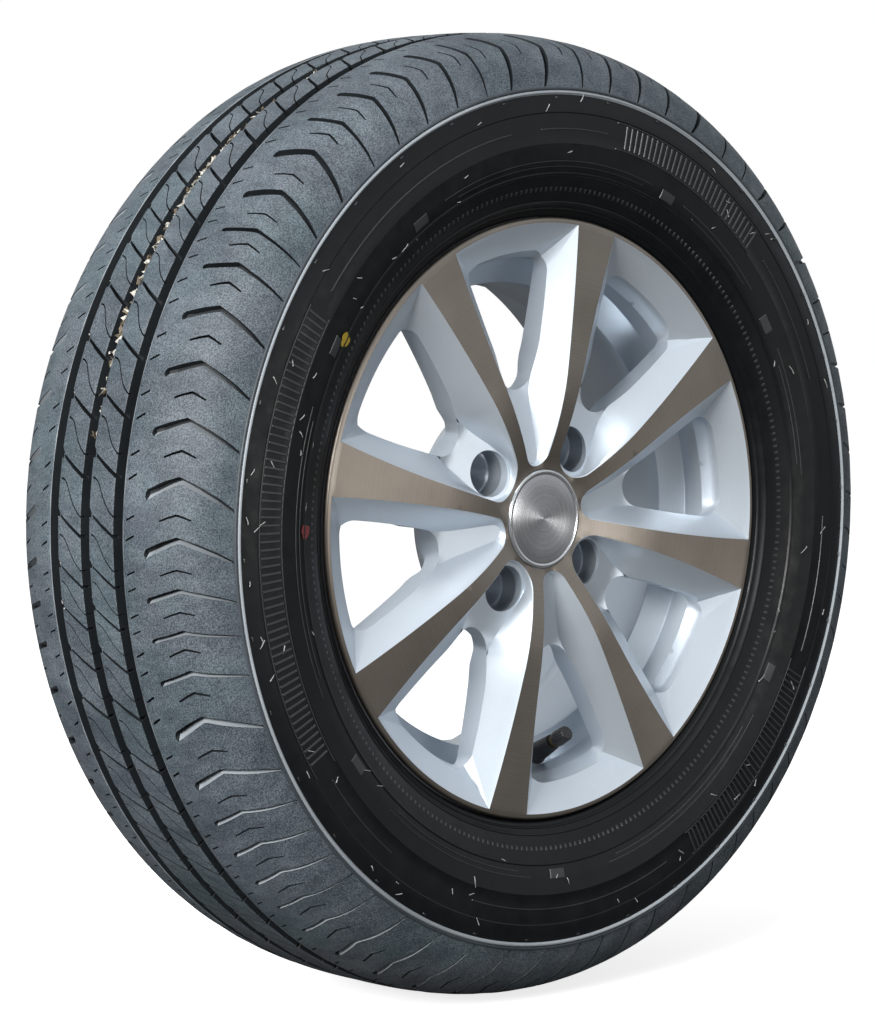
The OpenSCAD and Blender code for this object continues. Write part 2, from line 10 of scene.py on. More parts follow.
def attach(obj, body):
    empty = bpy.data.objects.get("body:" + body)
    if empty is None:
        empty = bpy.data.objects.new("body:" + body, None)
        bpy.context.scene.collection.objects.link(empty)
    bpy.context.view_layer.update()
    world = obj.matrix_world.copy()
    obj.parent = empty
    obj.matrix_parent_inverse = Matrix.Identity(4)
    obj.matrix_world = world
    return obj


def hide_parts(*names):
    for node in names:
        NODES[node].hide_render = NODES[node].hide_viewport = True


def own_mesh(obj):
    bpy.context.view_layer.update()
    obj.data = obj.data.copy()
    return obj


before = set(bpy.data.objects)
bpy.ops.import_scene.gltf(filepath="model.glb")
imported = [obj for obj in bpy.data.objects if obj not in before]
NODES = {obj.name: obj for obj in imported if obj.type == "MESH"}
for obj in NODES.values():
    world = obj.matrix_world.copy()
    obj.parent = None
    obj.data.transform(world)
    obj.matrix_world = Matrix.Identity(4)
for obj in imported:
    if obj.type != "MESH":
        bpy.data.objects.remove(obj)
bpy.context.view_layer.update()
scene = bpy.context.scene
rng = random.Random(7)
TAU = 2 * math.pi

# Sizes in millimetres, as in part.scad. The crown is 0.2 lower, to stay in the CAD box.
CROWN_R, WIDEST_R, HALF_W, POWER = 294.3, 226.4, 91.0, 3.19
GROOVE_W, GROOVE_D, GROOVE_GAP = 8.0, 7.2, 29.4
FLANGE_R, FLANGE_Z, CURL_R, SEAT_R = 182.0, 63.5, 9.5, 164.7
WELL_R, WELL_IN, BARREL_R, OFFSET = 147.5, 142.5, 158.0, 30.0
FACE_Z, FACE_RISE, CROWN_FACE_R, DISH_R, LIP_R = 76.8, 1.7, 90.0, 176.0, 178.5
HOLE_OUT, BEVEL_DROP, HOLE_TIP, HOLE_TIP_R, CORNER_R = 162.0, 11.3, 79.6, 13.5, 11.0
HUB_R, CAP_SEAT_R, TURN = 33.0, 30.4, 10.0
SLOPE_A, SLOPE_TOP = 28.4, 39.0
VALVE_R, VALVE_ANGLE = 151.5, 280.0
VALVE_Z = SLOPE_TOP - (BARREL_R - VALVE_R) * math.tan(math.radians(SLOPE_A))
CREASE_OUT = FACE_Z - BEVEL_DROP
CONE_FOOT = CREASE_OUT + 0.4
CURL_MID = (FLANGE_R - CURL_R, FLANGE_Z + CURL_R)
FACE_OUT, BORE_R, HALF_SECTOR = 180.2, 30.05, 22.5
BOLT_AT, POCKET_R, BOLT_R = (50.0, 0.0), 14.0, 7.0
CHAMFER, CHAMFER_DROP = 0.55, 0.5
RELIEF_Z, CORE_Z = OFFSET + 7.0, 57.0
AXLE = (0.0, 0.0)

# Order of the tread's short, middle and long pitches, and their share of the way round
PITCHES = "MMLMSMMMMLMSMLLLLMSSMLMSSSSMLLLLLMS" + "MMLMMSMMLLMSSMMLMMSMLMMSMLMM"
PITCH = {"S": 4.75, "M": 5.65, "L": 6.65}
MM = 5.14
U = PITCH["M"] * MM
RIB_AT, SIDE_AT = 0.27, 0.57
EDGE_W, EDGE_D = 0.55, 0.45
LIT_FROM = 0.42


def polar(r, a, z):
    """Point in the lathe frame at radius r and angle a in degrees."""
    a = math.radians(a)
    return (r * math.cos(a), r * math.sin(a), z)


def turned(x, y, angle):
    """Point of the plane, turned about the origin by an angle in degrees."""
    c, s = math.cos(math.radians(angle)), math.sin(math.radians(angle))
    return x * c - y * s, x * s + y * c


def on_circle(c, r, a):
    return (c[0] + r * math.cos(math.radians(a)), c[1] + r * math.sin(math.radians(a)))


def arc(c, r, a0, a1, n):
    return [on_circle(c, r, a0 + (a1 - a0) * i / n) for i in range(n + 1)]


def circle(c, r, n=48):
    return arc(c, r, 0, 360, n)[:-1]


def lerp(a, b, t):
    return tuple(p + (q - p) * t for p, q in zip(a, b))


def ruled(a, b, n):
    """Rows of points from one line to another, in n steps."""
    return [[lerp(p, q, j / n) for p, q in zip(a, b)] for j in range(n + 1)]


def mirror(pts):
    return [(p[0], -p[1], *p[2:]) for p in pts]


def clamp(t):
    return max(0.0, min(1.0, t))


def interp(x, xs, ys):
    return float(np.interp(x, xs, ys))


def const(d):
    return lambda *place: d


class Shell:
    """Points in the lathe frame in millimetres, and faces with a material number."""

    def __init__(self):
        self.v, self.f, self.m = [], [], []

    def point(self, p):
        self.v.append(p)
        return len(self.v) - 1

    def face(self, f, mat):
        self.f.append(f)
        self.m.append(mat)

    def add(self, pts, faces, mat=0):
        base = len(self.v)
        self.v.extend([tuple(float(c) for c in p) for p in pts])
        for f in faces:
            self.face([base + i for i in f], mat)

    def strip(self, rows, mat=0, closed=False, flip=False):
        n = len(rows[0])
        faces = []
        for j in range(len(rows) - 1):
            for i in range(n if closed else n - 1):
                a, b = j * n + i, j * n + (i + 1) % n
                q = [a, b, b + n, a + n]
                faces.append(q[::-1] if flip else q)
        self.add([p for row in rows for p in row], faces, mat)

    def spun(self, angle):
        """The same shell, turned about the axle."""
        out = Shell()
        out.v = [(*turned(x, y, angle), z) for x, y, z in self.v]
        out.f, out.m = self.f, self.m
        return out

    def join(self, other):
        base = len(self.v)
        self.v.extend(other.v)
        self.f.extend([[base + i for i in f] for f in other.f])
        self.m.extend(other.m)

    def revolve(self, profile, mat=0, n=256, start=0.0, flip=False):
        rows = [[polar(r, start + 360.0 * k / n, z) for r, z in profile] for k in range(n)]
        self.strip(rows + rows[:1], mat, flip=flip)


def in_row(p):
    """From the lathe frame to the row frame, in metres: z becomes -Y, and y becomes +Z."""
    return (p[0] / 1000, -p[2] / 1000, p[1] / 1000)


def on_valve(p):
    """From the valve's own frame to the row frame, in metres."""
    x, z = turned(p[0], p[2], SLOPE_A)
    return in_row((*turned(x + VALVE_R, p[1], VALVE_ANGLE), z + VALVE_Z))


def build(name, shell, mats, sharp=30.0, place=in_row):
    """Merges equal points, drops flat and double faces, and makes the object."""
    index, pts, merged = {}, [], []
    for p in shell.v:
        key = tuple(round(c, 3) for c in p)
        if key not in index:
            index[key] = len(pts)
            pts.append(p)
        merged.append(index[key])
    faces, mat_ids, seen = [], [], set()
    for f, m in zip(shell.f, shell.m):
        g = []
        for i in f:
            k = merged[i]
            if not g or g[-1] != k:
                g.append(k)
        if len(g) > 1 and g[0] == g[-1]:
            g.pop()
        key = tuple(sorted(g))
        if len(set(g)) < 3 or len(set(g)) != len(g) or key in seen:
            continue
        seen.add(key)
        faces.append(g)
        mat_ids.append(m)
    me = bpy.data.meshes.new(name)
    me.from_pydata([place(p) for p in pts], [], faces)
    me.validate()
    for m in mats:
        me.materials.append(m)
    if len(me.polygons) == len(mat_ids):
        me.polygons.foreach_set("material_index", mat_ids)
    me.shade_smooth()
    me.set_sharp_from_angle(angle=math.radians(sharp))
    ob = bpy.data.objects.new(name, me)
    scene.collection.objects.link(ob)
    return ob


def meet(a, ra, b, rb):
    """Centre that lies ra from a and rb from b, to the left of a to b."""
    dx, dy = b[0] - a[0], b[1] - a[1]
    d = math.hypot(dx, dy)
    ux, uy = dx / d, dy / d
    m = (ra * ra - rb * rb + d * d) / (2 * d)
    h = math.sqrt(max(0.0, ra * ra - m * m))
    return (a[0] + m * ux - h * uy, a[1] + m * uy + h * ux)


def deg(p, c=AXLE):
    return math.degrees(math.atan2(p[1] - c[1], p[0] - c[0]))


def face_h(r):
    top = FACE_Z + FACE_RISE
    if r >= CROWN_FACE_R:
        return top - FACE_RISE * (r - CROWN_FACE_R) / (FACE_OUT - CROWN_FACE_R)
    r = max(r, HUB_R)
    return top - DISH_R + math.sqrt(DISH_R**2 - (CROWN_FACE_R - r) ** 2)


def cone_h(r):
    return FACE_Z - (LIP_R - r) * (FACE_Z - CONE_FOOT) / (LIP_R - HOLE_OUT)


def back_h(r):
    return interp(r, [0, 71, 75, 79, 86, 150, BARREL_R], [OFFSET, OFFSET, 35, 45, 47, 52, 54])


def crease_h(x):
    xs = [20, 32, 50, 66, HOLE_TIP, 90, 98, 106, 130, HOLE_OUT, 180]
    zs = [66.5, 66.5, 64.0, 61.6, 59.7, 61.6, 63.5, 64.8, 65.3, CREASE_OUT, CREASE_OUT]
    return interp(x, xs, zs)


def lift(pts, height):
    """Gives points of the plane the height at their radius."""
    return [(x, y, height(math.hypot(x, y))) for x, y in pts]


def creased(pts):
    return [(x, y, crease_h(x)) for x, y in pts]


WINDOWS = {
    "plain": dict(
        tip=32.7, tip_r=10.0, half=51.9, side_r=1200.0, hole=31.5, hole_side=700.0,
        near=[(34.3, 0), (35, 2.3), (36, 3.4), (37.5, 4.3), (40, 5.0),
              (57, 6.6), (70, 7.9), (78, 9.4), (84, 11.0)]),
    "bolt": dict(
        tip=32.5, tip_r=16.0, half=54.6, side_r=880.0, hole=33.5, hole_side=450.0,
        near=[(33.6, 0), (34.5, 5.2), (36.5, 9.0), (39.5, 12.0), (43.5, 14.1),
              (49, 14.9), (60, 14.6), (74, 13.6), (83, 14.0)]),
}


def offset_loop(loop, d):
    """Moves a closed counter-clockwise loop inwards by d, with mitred corners."""
    out = []
    for i, p in enumerate(loop):
        p0, p2 = loop[i - 1], loop[(i + 1) % len(loop)]
        a = np.array([p[0] - p0[0], p[1] - p0[1]])
        b = np.array([p2[0] - p[0], p2[1] - p[1]])
        a, b = a / np.linalg.norm(a), b / np.linalg.norm(b)
        na, nb = np.array([-a[1], a[0]]), np.array([-b[1], b[0]])
        m = na + nb
        m /= max(1e-9, np.linalg.norm(m))
        k = d / max(0.35, float(m @ na))
        out.append((p[0] + m[0] * k, p[1] + m[1] * k))
    return out


def cdt(loops, extra=()):
    """Triangles over the plane, with every loop kept as edges. Returns points and faces."""
    pts, edges = [], []
    for loop, closed in loops:
        base, n = len(pts), len(loop)
        pts.extend([Vector(p[:2]) for p in loop])
        edges.extend([(base + i, base + (i + 1) % n) for i in range(n if closed else n - 1)])
    pts.extend([Vector(p) for p in extra])
    out = delaunay_2d_cdt(pts, edges, [], 0, 1e-5)
    return [(p.x, p.y) for p in out[0]], [list(f) for f in out[2]]


def inside(p, poly):
    x, y = p
    hit = False
    for i in range(len(poly)):
        (x1, y1), (x2, y2) = poly[i - 1], poly[i]
        if (y1 > y) != (y2 > y) and x < (x2 - x1) * (y - y1) / (y2 - y1) + x1:
            hit = not hit
    return hit


def centroid(pts, f):
    return (sum(pts[i][0] for i in f) / len(f), sum(pts[i][1] for i in f) / len(f))


def wedge(r0, r1, n=32):
    """Outline of a 45 degree sector, counter-clockwise, with n steps on the outer arc."""
    left = [polar(r, HALF_SECTOR, 0)[:2] for r in np.linspace(r0, r1, 40)]
    outer = arc(AXLE, r1, -HALF_SECTOR, HALF_SECTOR, n)[1:-1]
    inner = arc(AXLE, r0, HALF_SECTOR, -HALF_SECTOR, 12)[1:-1]
    return mirror(left) + outer + left[::-1] + inner


def sector(kind):
    """One eighth of the rim's front and back, about the window's axis along +x."""
    w = WINDOWS[kind]
    out = Shell()
    half, side_r, hole_side, near_x = w["half"], w["side_r"], w["hole_side"], w["near"][0][0]

    # Outline of the window in the face
    corner = (math.sqrt(LIP_R**2 - half**2), half)
    tip_c = (w["tip"] + w["tip_r"], 0.0)
    c = meet(corner, side_r, tip_c, side_r - w["tip_r"])
    a_tip = deg(tip_c, c)
    up = arc(c, side_r, deg(corner, c), a_tip, 26) + arc(tip_c, w["tip_r"], a_tip, 180, 12)[1:]
    up[-1] = (w["tip"], 0.0)
    low = mirror(up[-2::-1])
    a_lip = deg(corner)
    loop = up + low + arc(AXLE, LIP_R, -a_lip, a_lip, 20)[1:-1]

    # Machined face
    outline = wedge(CAP_SEAT_R, FACE_OUT)
    extra = []
    for r in np.linspace(CAP_SEAT_R, FACE_OUT, 38)[1:-1]:
        k = max(3, int(r * 0.785 / 5))
        ring = [polar(r, -HALF_SECTOR + 45 * (i + 0.5) / k, 0)[:2] for i in range(k)]
        extra += [p for p in ring if not inside(p, loop)]
    pts, faces = cdt([(outline, True), (loop, True)], extra)
    mids = [centroid(pts, f) for f in faces]
    keep = [f for f, q in zip(faces, mids) if inside(q, outline) and not inside(q, loop)]
    out.add(lift(pts, face_h), keep, 0)

    # Small chamfer round the window
    top = lift(loop, face_h)
    edge = [(x, y, t[2] - CHAMFER_DROP) for (x, y), t in zip(offset_loop(loop, CHAMFER), top)]
    out.strip([top, edge], 1, closed=True)

    # Crease at the foot of the side bevels and round the hole
    tip_at = (HOLE_TIP + HOLE_TIP_R, 0.0)
    hc = meet((145.0, w["hole"]), hole_side, tip_at, hole_side - HOLE_TIP_R)
    kc = meet(AXLE, HOLE_OUT - CORNER_R, hc, hole_side - CORNER_R)
    a_in = deg(tip_at, hc)
    tangent = on_circle(hc, hole_side, a_in)
    steps = 10
    corner_arc = arc(kc, CORNER_R, deg(kc, hc), deg(kc), steps)
    start = corner_arc[0]

    def foot_w(x):
        if x >= tangent[0]:
            return hc[1] + math.sqrt(hole_side**2 - (x - hc[0]) ** 2)
        return interp(x, *zip(*w["near"], tangent))

    # Feet of the rulings, from the hole's corner to the window's tip
    foot = []
    for x, y in up[:-1]:
        fx = max(min(x + 4.2 - 3.0 * clamp((80 - x) / 46), start[0]), near_x + 0.05)
        foot.append((fx, min(foot_w(fx), y - 0.35)))
    foot.append((near_x, 0.0))
    # The first feet are spread evenly from the corner
    first = next(i for i, p in enumerate(up) if p[0] + 4.2 < start[0] - 4)
    for i in range(1, first):
        fx = start[0] + (foot[first][0] - start[0]) * i / first
        foot[i] = (fx, foot_w(fx))
    foot = creased(foot)

    def bevel(tops, feet, flip=False):
        out.strip(ruled(tops, feet, 5), 1, flip=flip)

    up_edge = edge[: len(up)]
    bevel(up_edge, foot)
    bevel(mirror(up_edge[::-1]), mirror(foot[::-1]))

    # Corner of the hole: the valley between side bevel and cone
    slope = (face_h(178) - crease_h(150)) / 13.2

    def side_h(p):
        return face_h(172) - CHAMFER_DROP - (side_r - math.dist(p, c) - CHAMFER) * slope

    zs = [(side_h(p), cone_h(math.hypot(*p))) for p in corner_arc]
    mid = min(range(2, 9), key=lambda i: abs(zs[i][0] - zs[i][1]))
    mid_z = 0.5 * (zs[mid][0] + zs[mid][1])
    shares = [min(i / mid, (steps - i) / (steps - mid)) for i in range(steps + 1)]
    valley = []
    for i, (x, y) in enumerate(corner_arc):
        base = crease_h(start[0]) if i <= mid else CONE_FOOT
        valley.append((x, y, base + (mid_z - base) * shares[i] ** 1.5))
    tops = [lerp(edge[0], valley[mid], t) for t in shares]
    for side in (1, -1):
        for part in (slice(0, mid + 1), slice(mid, steps + 1)):
            rows = ruled(tops[part], valley[part], 4)
            out.strip([[(x, y * side, z) for x, y, z in row] for row in rows], 1, flip=side > 0)

    # Cone inside the lip
    lip_edge = [edge[0]] + edge[len(up) + len(low):][::-1] + mirror(edge[:1])
    a_end, n_lip = deg(valley[-1]), len(lip_edge)
    lip_foot = [polar(HOLE_OUT, a_end * (1 - 2 * i / (n_lip - 1)), CONE_FOOT) for i in range(n_lip)]
    bevel(lip_edge, lip_foot, True)

    # Wall of the through hole, drafted towards the back
    tip_arc = arc(tip_at, HOLE_TIP_R, a_in, 180, 10)
    side_feet = [f for f in foot if f[0] > tangent[0] + 0.3]
    ring = lip_foot[: n_lip // 2 + 1][::-1] + valley[-2::-1] + side_feet[1:] + creased(tip_arc)
    full = ring + mirror(ring[-2:0:-1])
    rear, mids = [], []
    for p in full:
        x, y, _ = p
        r = math.hypot(x, y)
        if r > BARREL_R - 0.5:
            k, j = BARREL_R / r, min(1.0, 161.7 / r)
            rear.append((x * k, y * k, 54.0))
            mids.append((x * j, y * j, 62.0))
            continue
        if x < 96:
            k = 3.2 * min(1.0, (96 - x) / 14)
            d = math.dist((x, y), tip_at)
            x, y = x + (x - tip_at[0]) / d * k, y + y / d * k
        else:
            y += math.copysign(0.8, y) * min(1, (x - 96) / 8)
        rear.append((x, y, back_h(min(math.hypot(x, y), BARREL_R - 0.1))))
        mids.append(lerp(p, rear[-1], 0.5))
    out.strip(ruled(full, mids, 3)[:-1] + ruled(mids, rear, 3)[:-1] + [rear], 1, closed=True)

    # Floor between the hub and the hole, with the bolt pocket
    inner = creased([tangent]) + [f for f in foot if f[0] < tangent[0] - 0.2]
    floor_loop = [p[:2] for p in inner + mirror(inner[-2::-1])] + mirror(tip_arc[1:]) + tip_arc[-2:0:-1]
    grid = [(x, y) for x in np.arange(36, 80, 3.5) for y in np.arange(-14, 14.1, 3.5)]
    extra = [p for p in grid if inside(p, floor_loop)]
    loops = [(floor_loop, True)]
    pocket = None
    if kind == "bolt":
        pocket = circle(BOLT_AT, POCKET_R)
        loops.append((pocket, True))
        extra = [p for p in extra if math.dist(p, BOLT_AT) > POCKET_R + 0.6]
    pts, faces = cdt(loops, extra)
    keep = []
    for f in faces:
        q = centroid(pts, f)
        if inside(q, floor_loop) and not (pocket and inside(q, pocket)):
            keep.append(f)
    out.add(creased(pts), keep, 1)
    if pocket:
        rows = [creased(pocket)]
        for r, z in ((13.9, 60.0), (13.85, 52.0), (13.6, 49.2), (13.0, 48.5), (12.6, 48.5),
                     (12.2, 48.0), (BOLT_R, 39.0), (BOLT_R, OFFSET)):
            rows.append([(x, y, z) for x, y in circle(BOLT_AT, r)])
        out.strip(rows[:2], 1, closed=True, flip=True)
        # The pocket's inside, below its mouth, takes the darker pocket paint: painted shade in the recess.
        out.strip(rows[1:], 3, closed=True, flip=True)

    # Back of the disc, in a lighter copy of the silver paint as painted light
    rear_loop = [p[:2] for p in rear]
    outline = wedge(BORE_R, BARREL_R)
    loops = [(outline, True), (rear_loop, True)]
    loops += [(arc(AXLE, r, -HALF_SECTOR, HALF_SECTOR, 32), False) for r in (71, 75, 79, 86, 150)]
    holes, cores, relief = [rear_loop], [], []
    if kind == "bolt":
        holes.append(circle(BOLT_AT, BOLT_R))
        loops.append((holes[-1], True))
    else:
        relief = arc(AXLE, 66, -21.5, 21.5, 16) + arc(AXLE, 42, 14, -14, 10)
        loops.append((relief, True))
    for side in (1, -1):
        shape = [(98, 0.0), (98, -6.4 * side), (144, -12.6 * side)] + arc(AXLE, 149, -4.4 * side, 0.0, 4)
        cores.append([turned(x, y, HALF_SECTOR * side) for x, y in shape])
        loops.append((cores[-1], True))
    pts, faces = cdt(loops)
    heights = {"flat": back_h, "relief": const(RELIEF_Z), "core": const(CORE_Z)}
    zones = {}
    for f in faces:
        q = centroid(pts, f)
        if not inside(q, outline) or any(inside(q, h) for h in holes):
            continue
        zone = "relief" if inside(q, relief) else "flat"
        if any(inside(q, k) for k in cores):
            zone = "core"
        zones.setdefault(zone, []).append(f[::-1])
    for zone, found in zones.items():
        out.add(lift(pts, heights[zone]), found, 2)
    if relief:
        out.strip([lift(relief, const(OFFSET)), lift(relief, const(RELIEF_Z))], 2, closed=True)
    for core in cores:
        for line in (core[1:], core[:2]):
            out.strip([lift(line, back_h), lift(line, const(CORE_Z))], 2)
    return out


def rim_shell():
    rim = Shell()
    plain, bolt = sector("plain"), sector("bolt")
    for q in range(4):
        rim.join(plain.spun(TURN + 90 * q))
        rim.join(bolt.spun(TURN + 45 + 90 * q))
    fz, start = FLANGE_Z, TURN + HALF_SECTOR
    t = math.tan(math.radians(SLOPE_A))
    drop = 5 / math.cos(math.radians(SLOPE_A))
    z_in = SLOPE_TOP - (BARREL_R - WELL_IN) * t
    lip = [(FACE_OUT, face_h(FACE_OUT)), (180.9, 76.55), (181.5, 75.9), (181.85, 75.0), (FLANGE_R, 74.0)]
    curl = arc(CURL_MID, CURL_R, 0, -90, 9)
    seat = [(168.7, fz), (166.5, fz - 0.9), (SEAT_R, fz - 3.5), (163.4, 45.0), (165.3, 42.5),
            (164.3, 40.5), (163.2, 39.5), (163.2, SLOPE_TOP + 5.2 * t - drop),
            (WELL_R + 1, z_in + 6 * t - drop), (WELL_R, z_in + 4 * t - drop)]
    well = [(WELL_R, -10.0), (163.2, -39.5), (165.3, -42.5), (163.4, -45.0), (SEAT_R, -fz + 3.5), (168.7, -fz)]
    back_curl = arc((CURL_MID[0], -CURL_MID[1]), CURL_R, 90, 10, 8)
    back_lip = [(r, z - fz) for r, z in (
        (181.8, -8.6), (181.3, -9.6), (180.3, -9.9), (179.2, -9.7), (178.4, -9.0), (176.8, -6.8),
        (174.5, -5.1), (171, -4.2), (164, -3.0), (160.6, -1.5), (159.2, 1.5))]
    barrel = [(BARREL_R, -fz + 12), (BARREL_R, -39.6), (BARREL_R - 0.8, -38.4), (WELL_IN + 0.6, -13.4),
              (WELL_IN, -12.0), (WELL_IN, z_in - 0.8), (WELL_IN + 0.5, z_in + 0.2),
              (BARREL_R - 0.7, SLOPE_TOP - 0.5), (BARREL_R, SLOPE_TOP + 0.4), (BARREL_R, 54.0)]
    whole = lip + curl + seat + well + back_curl + back_lip
    rim.revolve(lip, 0, 256, start)
    rim.revolve(whole[len(lip) - 1:], 1, 256, start)
    rim.revolve([whole[-1]] + barrel, 1, 256, start)
    hub = [(CAP_SEAT_R, face_h(CAP_SEAT_R)), (CAP_SEAT_R, 64.5), (28.0, 64.5), (28.0, 58.4), (28.9, 56.0),
           (28.0, 54.6), (28.0, 52.0), (BORE_R, 52.0), (BORE_R, OFFSET)]
    rim.revolve(hub, 1, 96, start, flip=True)
    return rim


def crown_curve(t, crown, half_w, power):
    """Radius and height on the tyre's crown, t degrees up from its widest place."""
    t = math.radians(t)
    r = WIDEST_R + (crown - WIDEST_R) * max(0.0, math.sin(t)) ** (2 / power)
    return r, half_w * max(0.0, math.cos(t)) ** (2 / power)


# Tyre surface by arc length from the crown
TA = np.array([crown_curve(90 - 90 * i / 2000, CROWN_R, HALF_W, POWER) for i in range(2001)])
TS = np.concatenate([[0], np.cumsum(np.hypot(np.diff(TA[:, 0]), np.diff(TA[:, 1])))])


def surf(s, depth=0.0):
    """Radius and height at arc length s from the crown, sunk by depth."""
    q = abs(s)
    (r1, z1), (r, z), (r2, z2) = [
        (interp(k, TS, TA[:, 0]), interp(k, TS, TA[:, 1]))
        for k in (max(q - 0.6, 0.0), q, min(q + 0.6, TS[-1]))
    ]
    dr, dz = (0.0 if q < 0.6 else r2 - r1), z2 - z1
    n = math.hypot(dr, dz)
    r, z = r - dz / n * depth, z + dr / n * depth
    return r, (z if s >= 0 else -z)


def wall_z(r):
    """Height of the side wall's outer surface at radius r."""
    if r >= WIDEST_R:
        return HALF_W * (1 - ((r - WIDEST_R) / (CROWN_R - WIDEST_R)) ** POWER) ** (1 / POWER)
    return interp(r, [184.6, 190, 199, 212, WIDEST_R], [75.7, 78.8, 84.2, 88.8, HALF_W])


def ribbon(path, widths):
    """Closed outline of a narrow slot along a path of (s, u)."""
    left, right = [], []
    for i, (s, u) in enumerate(path):
        a, b = path[max(0, i - 1)], path[min(len(path) - 1, i + 1)]
        dx, dy = b[0] - a[0], b[1] - a[1]
        d = math.hypot(dx, dy)
        nx, ny = -dy / d, dx / d
        h = widths[i] / 2
        left.append((s + nx * h, u + ny * h))
        right.append((s - nx * h, u - ny * h))
    return left + right[::-1]


class Rib:
    """One pitch of a rib, cut by slots, in arc length s and length u round the tyre."""

    def __init__(self, s0, s1, zones, rows, edged=True):
        """The rib has a groove's edge at s0, and if edged also one at s1."""
        self.s0, self.s1, self.zones, self.edged = s0, s1, zones, edged
        lines = sorted({s0, s1, s0 + EDGE_W, *([s1 - EDGE_W] if edged else []), *rows})
        cuts = [U * k / 5 for k in range(1, 5)]
        outer = [(s, 0.0) for s in lines] + [(s1, u) for u in cuts]
        outer += [(s, U) for s in lines[::-1]] + [(s0, u) for u in cuts[::-1]]
        loops = [(outer, True)] + [(z["poly"], True) for z in zones]
        loops += [([(s, 0.0), (s, U)], False) for s in lines[1:-1]]
        self.pts, faces = cdt(loops)
        self.faces = []
        for f in faces:
            q = centroid(self.pts, f)
            if s0 < q[0] < s1 and 0 < q[1] < U:
                hits = [k for k, z in enumerate(zones) if inside(q, z["poly"])]
                self.faces.append((hits[-1] if hits else -1, f))

    def depth(self, zone, s, u):
        at_edge = s < self.s0 + 0.5 or (self.edged and s > self.s1 - 0.5)
        d = EDGE_D if at_edge else 0.0
        return max(d, self.zones[zone]["depth"](s, u)) if zone >= 0 else d

    def shell(self, angle_of):
        out = Shell()
        memo = {}

        def vert(zone, i):
            if (zone, i) not in memo:
                s, u = self.pts[i]
                r, z = surf(s, self.depth(zone, s, u))
                memo[zone, i] = out.point(polar(r, angle_of(s, u), z))
            return memo[zone, i]

        sides = {}
        for zone, f in self.faces:
            # Slots take material 1, the groove rubber darkened as painted shade, unless their zone names
            # another.
            mat = self.zones[zone].get("mat", 1) if zone >= 0 else 0
            # The shoulder rib's outer edge band takes material 4, the light edge rubber: painted highlight
            # along the groove's edge.
            if zone < 0 and not self.edged and centroid(self.pts, f)[0] < self.s0 + EDGE_W:
                mat = 4
            out.face([vert(zone, i) for i in f][::-1], mat)
            for k, a in enumerate(f):
                b = f[(k + 1) % len(f)]
                sides.setdefault((min(a, b), max(a, b)), []).append((zone, a, b))
        # Walls between zones and down to the groove floors are material 1, the groove rubber darkened as
        # painted shade.
        for uses in sides.values():
            zone, i, j = uses[0]
            other = uses[-1][0]
            if len(uses) == 2 and zone != other:
                out.face([vert(zone, i), vert(zone, j), vert(other, j), vert(other, i)], 1)
            if len(uses) == 1:
                for line, sink, is_edge in ((self.s0, -1, True), (self.s1, 1, self.edged)):
                    if is_edge and all(abs(self.pts[k][0] - line) < 1e-4 for k in (i, j)):
                        r, z = surf(line + sink * 0.7, GROOVE_D)
                        feet = [out.point(polar(r, angle_of(line, self.pts[k][1]), z)) for k in (i, j)]
                        out.face([vert(zone, i), vert(zone, j), feet[1], feet[0]], 1)
        return out


def centre_rib(s0):
    """Rib between two main grooves, s0 the edge at the middle groove's side."""
    s1 = s0 + 21.4
    at = RIB_AT * U
    slot = ribbon([(s0 + 3.2, at), (s0 + 12, at + 0.3), (s1 + 0.4, at)], [1.6, 2.2, 2.3])
    wave = [(s0 + s, at + k * U) for s, k in (
        (2.0, 0.37), (5.0, 0.345), (7.4, 0.36), (10.5, 0.46), (14.0, 0.565), (16.6, 0.61), (19.0, 0.63))]
    sipe = ribbon(wave + [(s1 + 0.3, at + 0.64 * U)], [0.95] * 8)
    notch = [(s0, at - 3.4), (s0 + 2.6, at - 1.2), (s0 + 2.6, at + 1.2), (s0, at + 3.0)]
    zones = [
        dict(poly=[(min(s, s1), u) for s, u in slot], depth=const(4.6)),
        dict(poly=[(min(s, s1), u) for s, u in sipe], depth=const(3.4)),
        # The notch's small facet takes material 4, the light edge rubber: a painted glint.
        dict(poly=notch, depth=lambda s, u: 0.15 + (s0 + 2.6 - s) * 0.75, mat=4),
    ]
    return Rib(s0, s1, zones, np.linspace(s0, s1, 7)[1:-1])


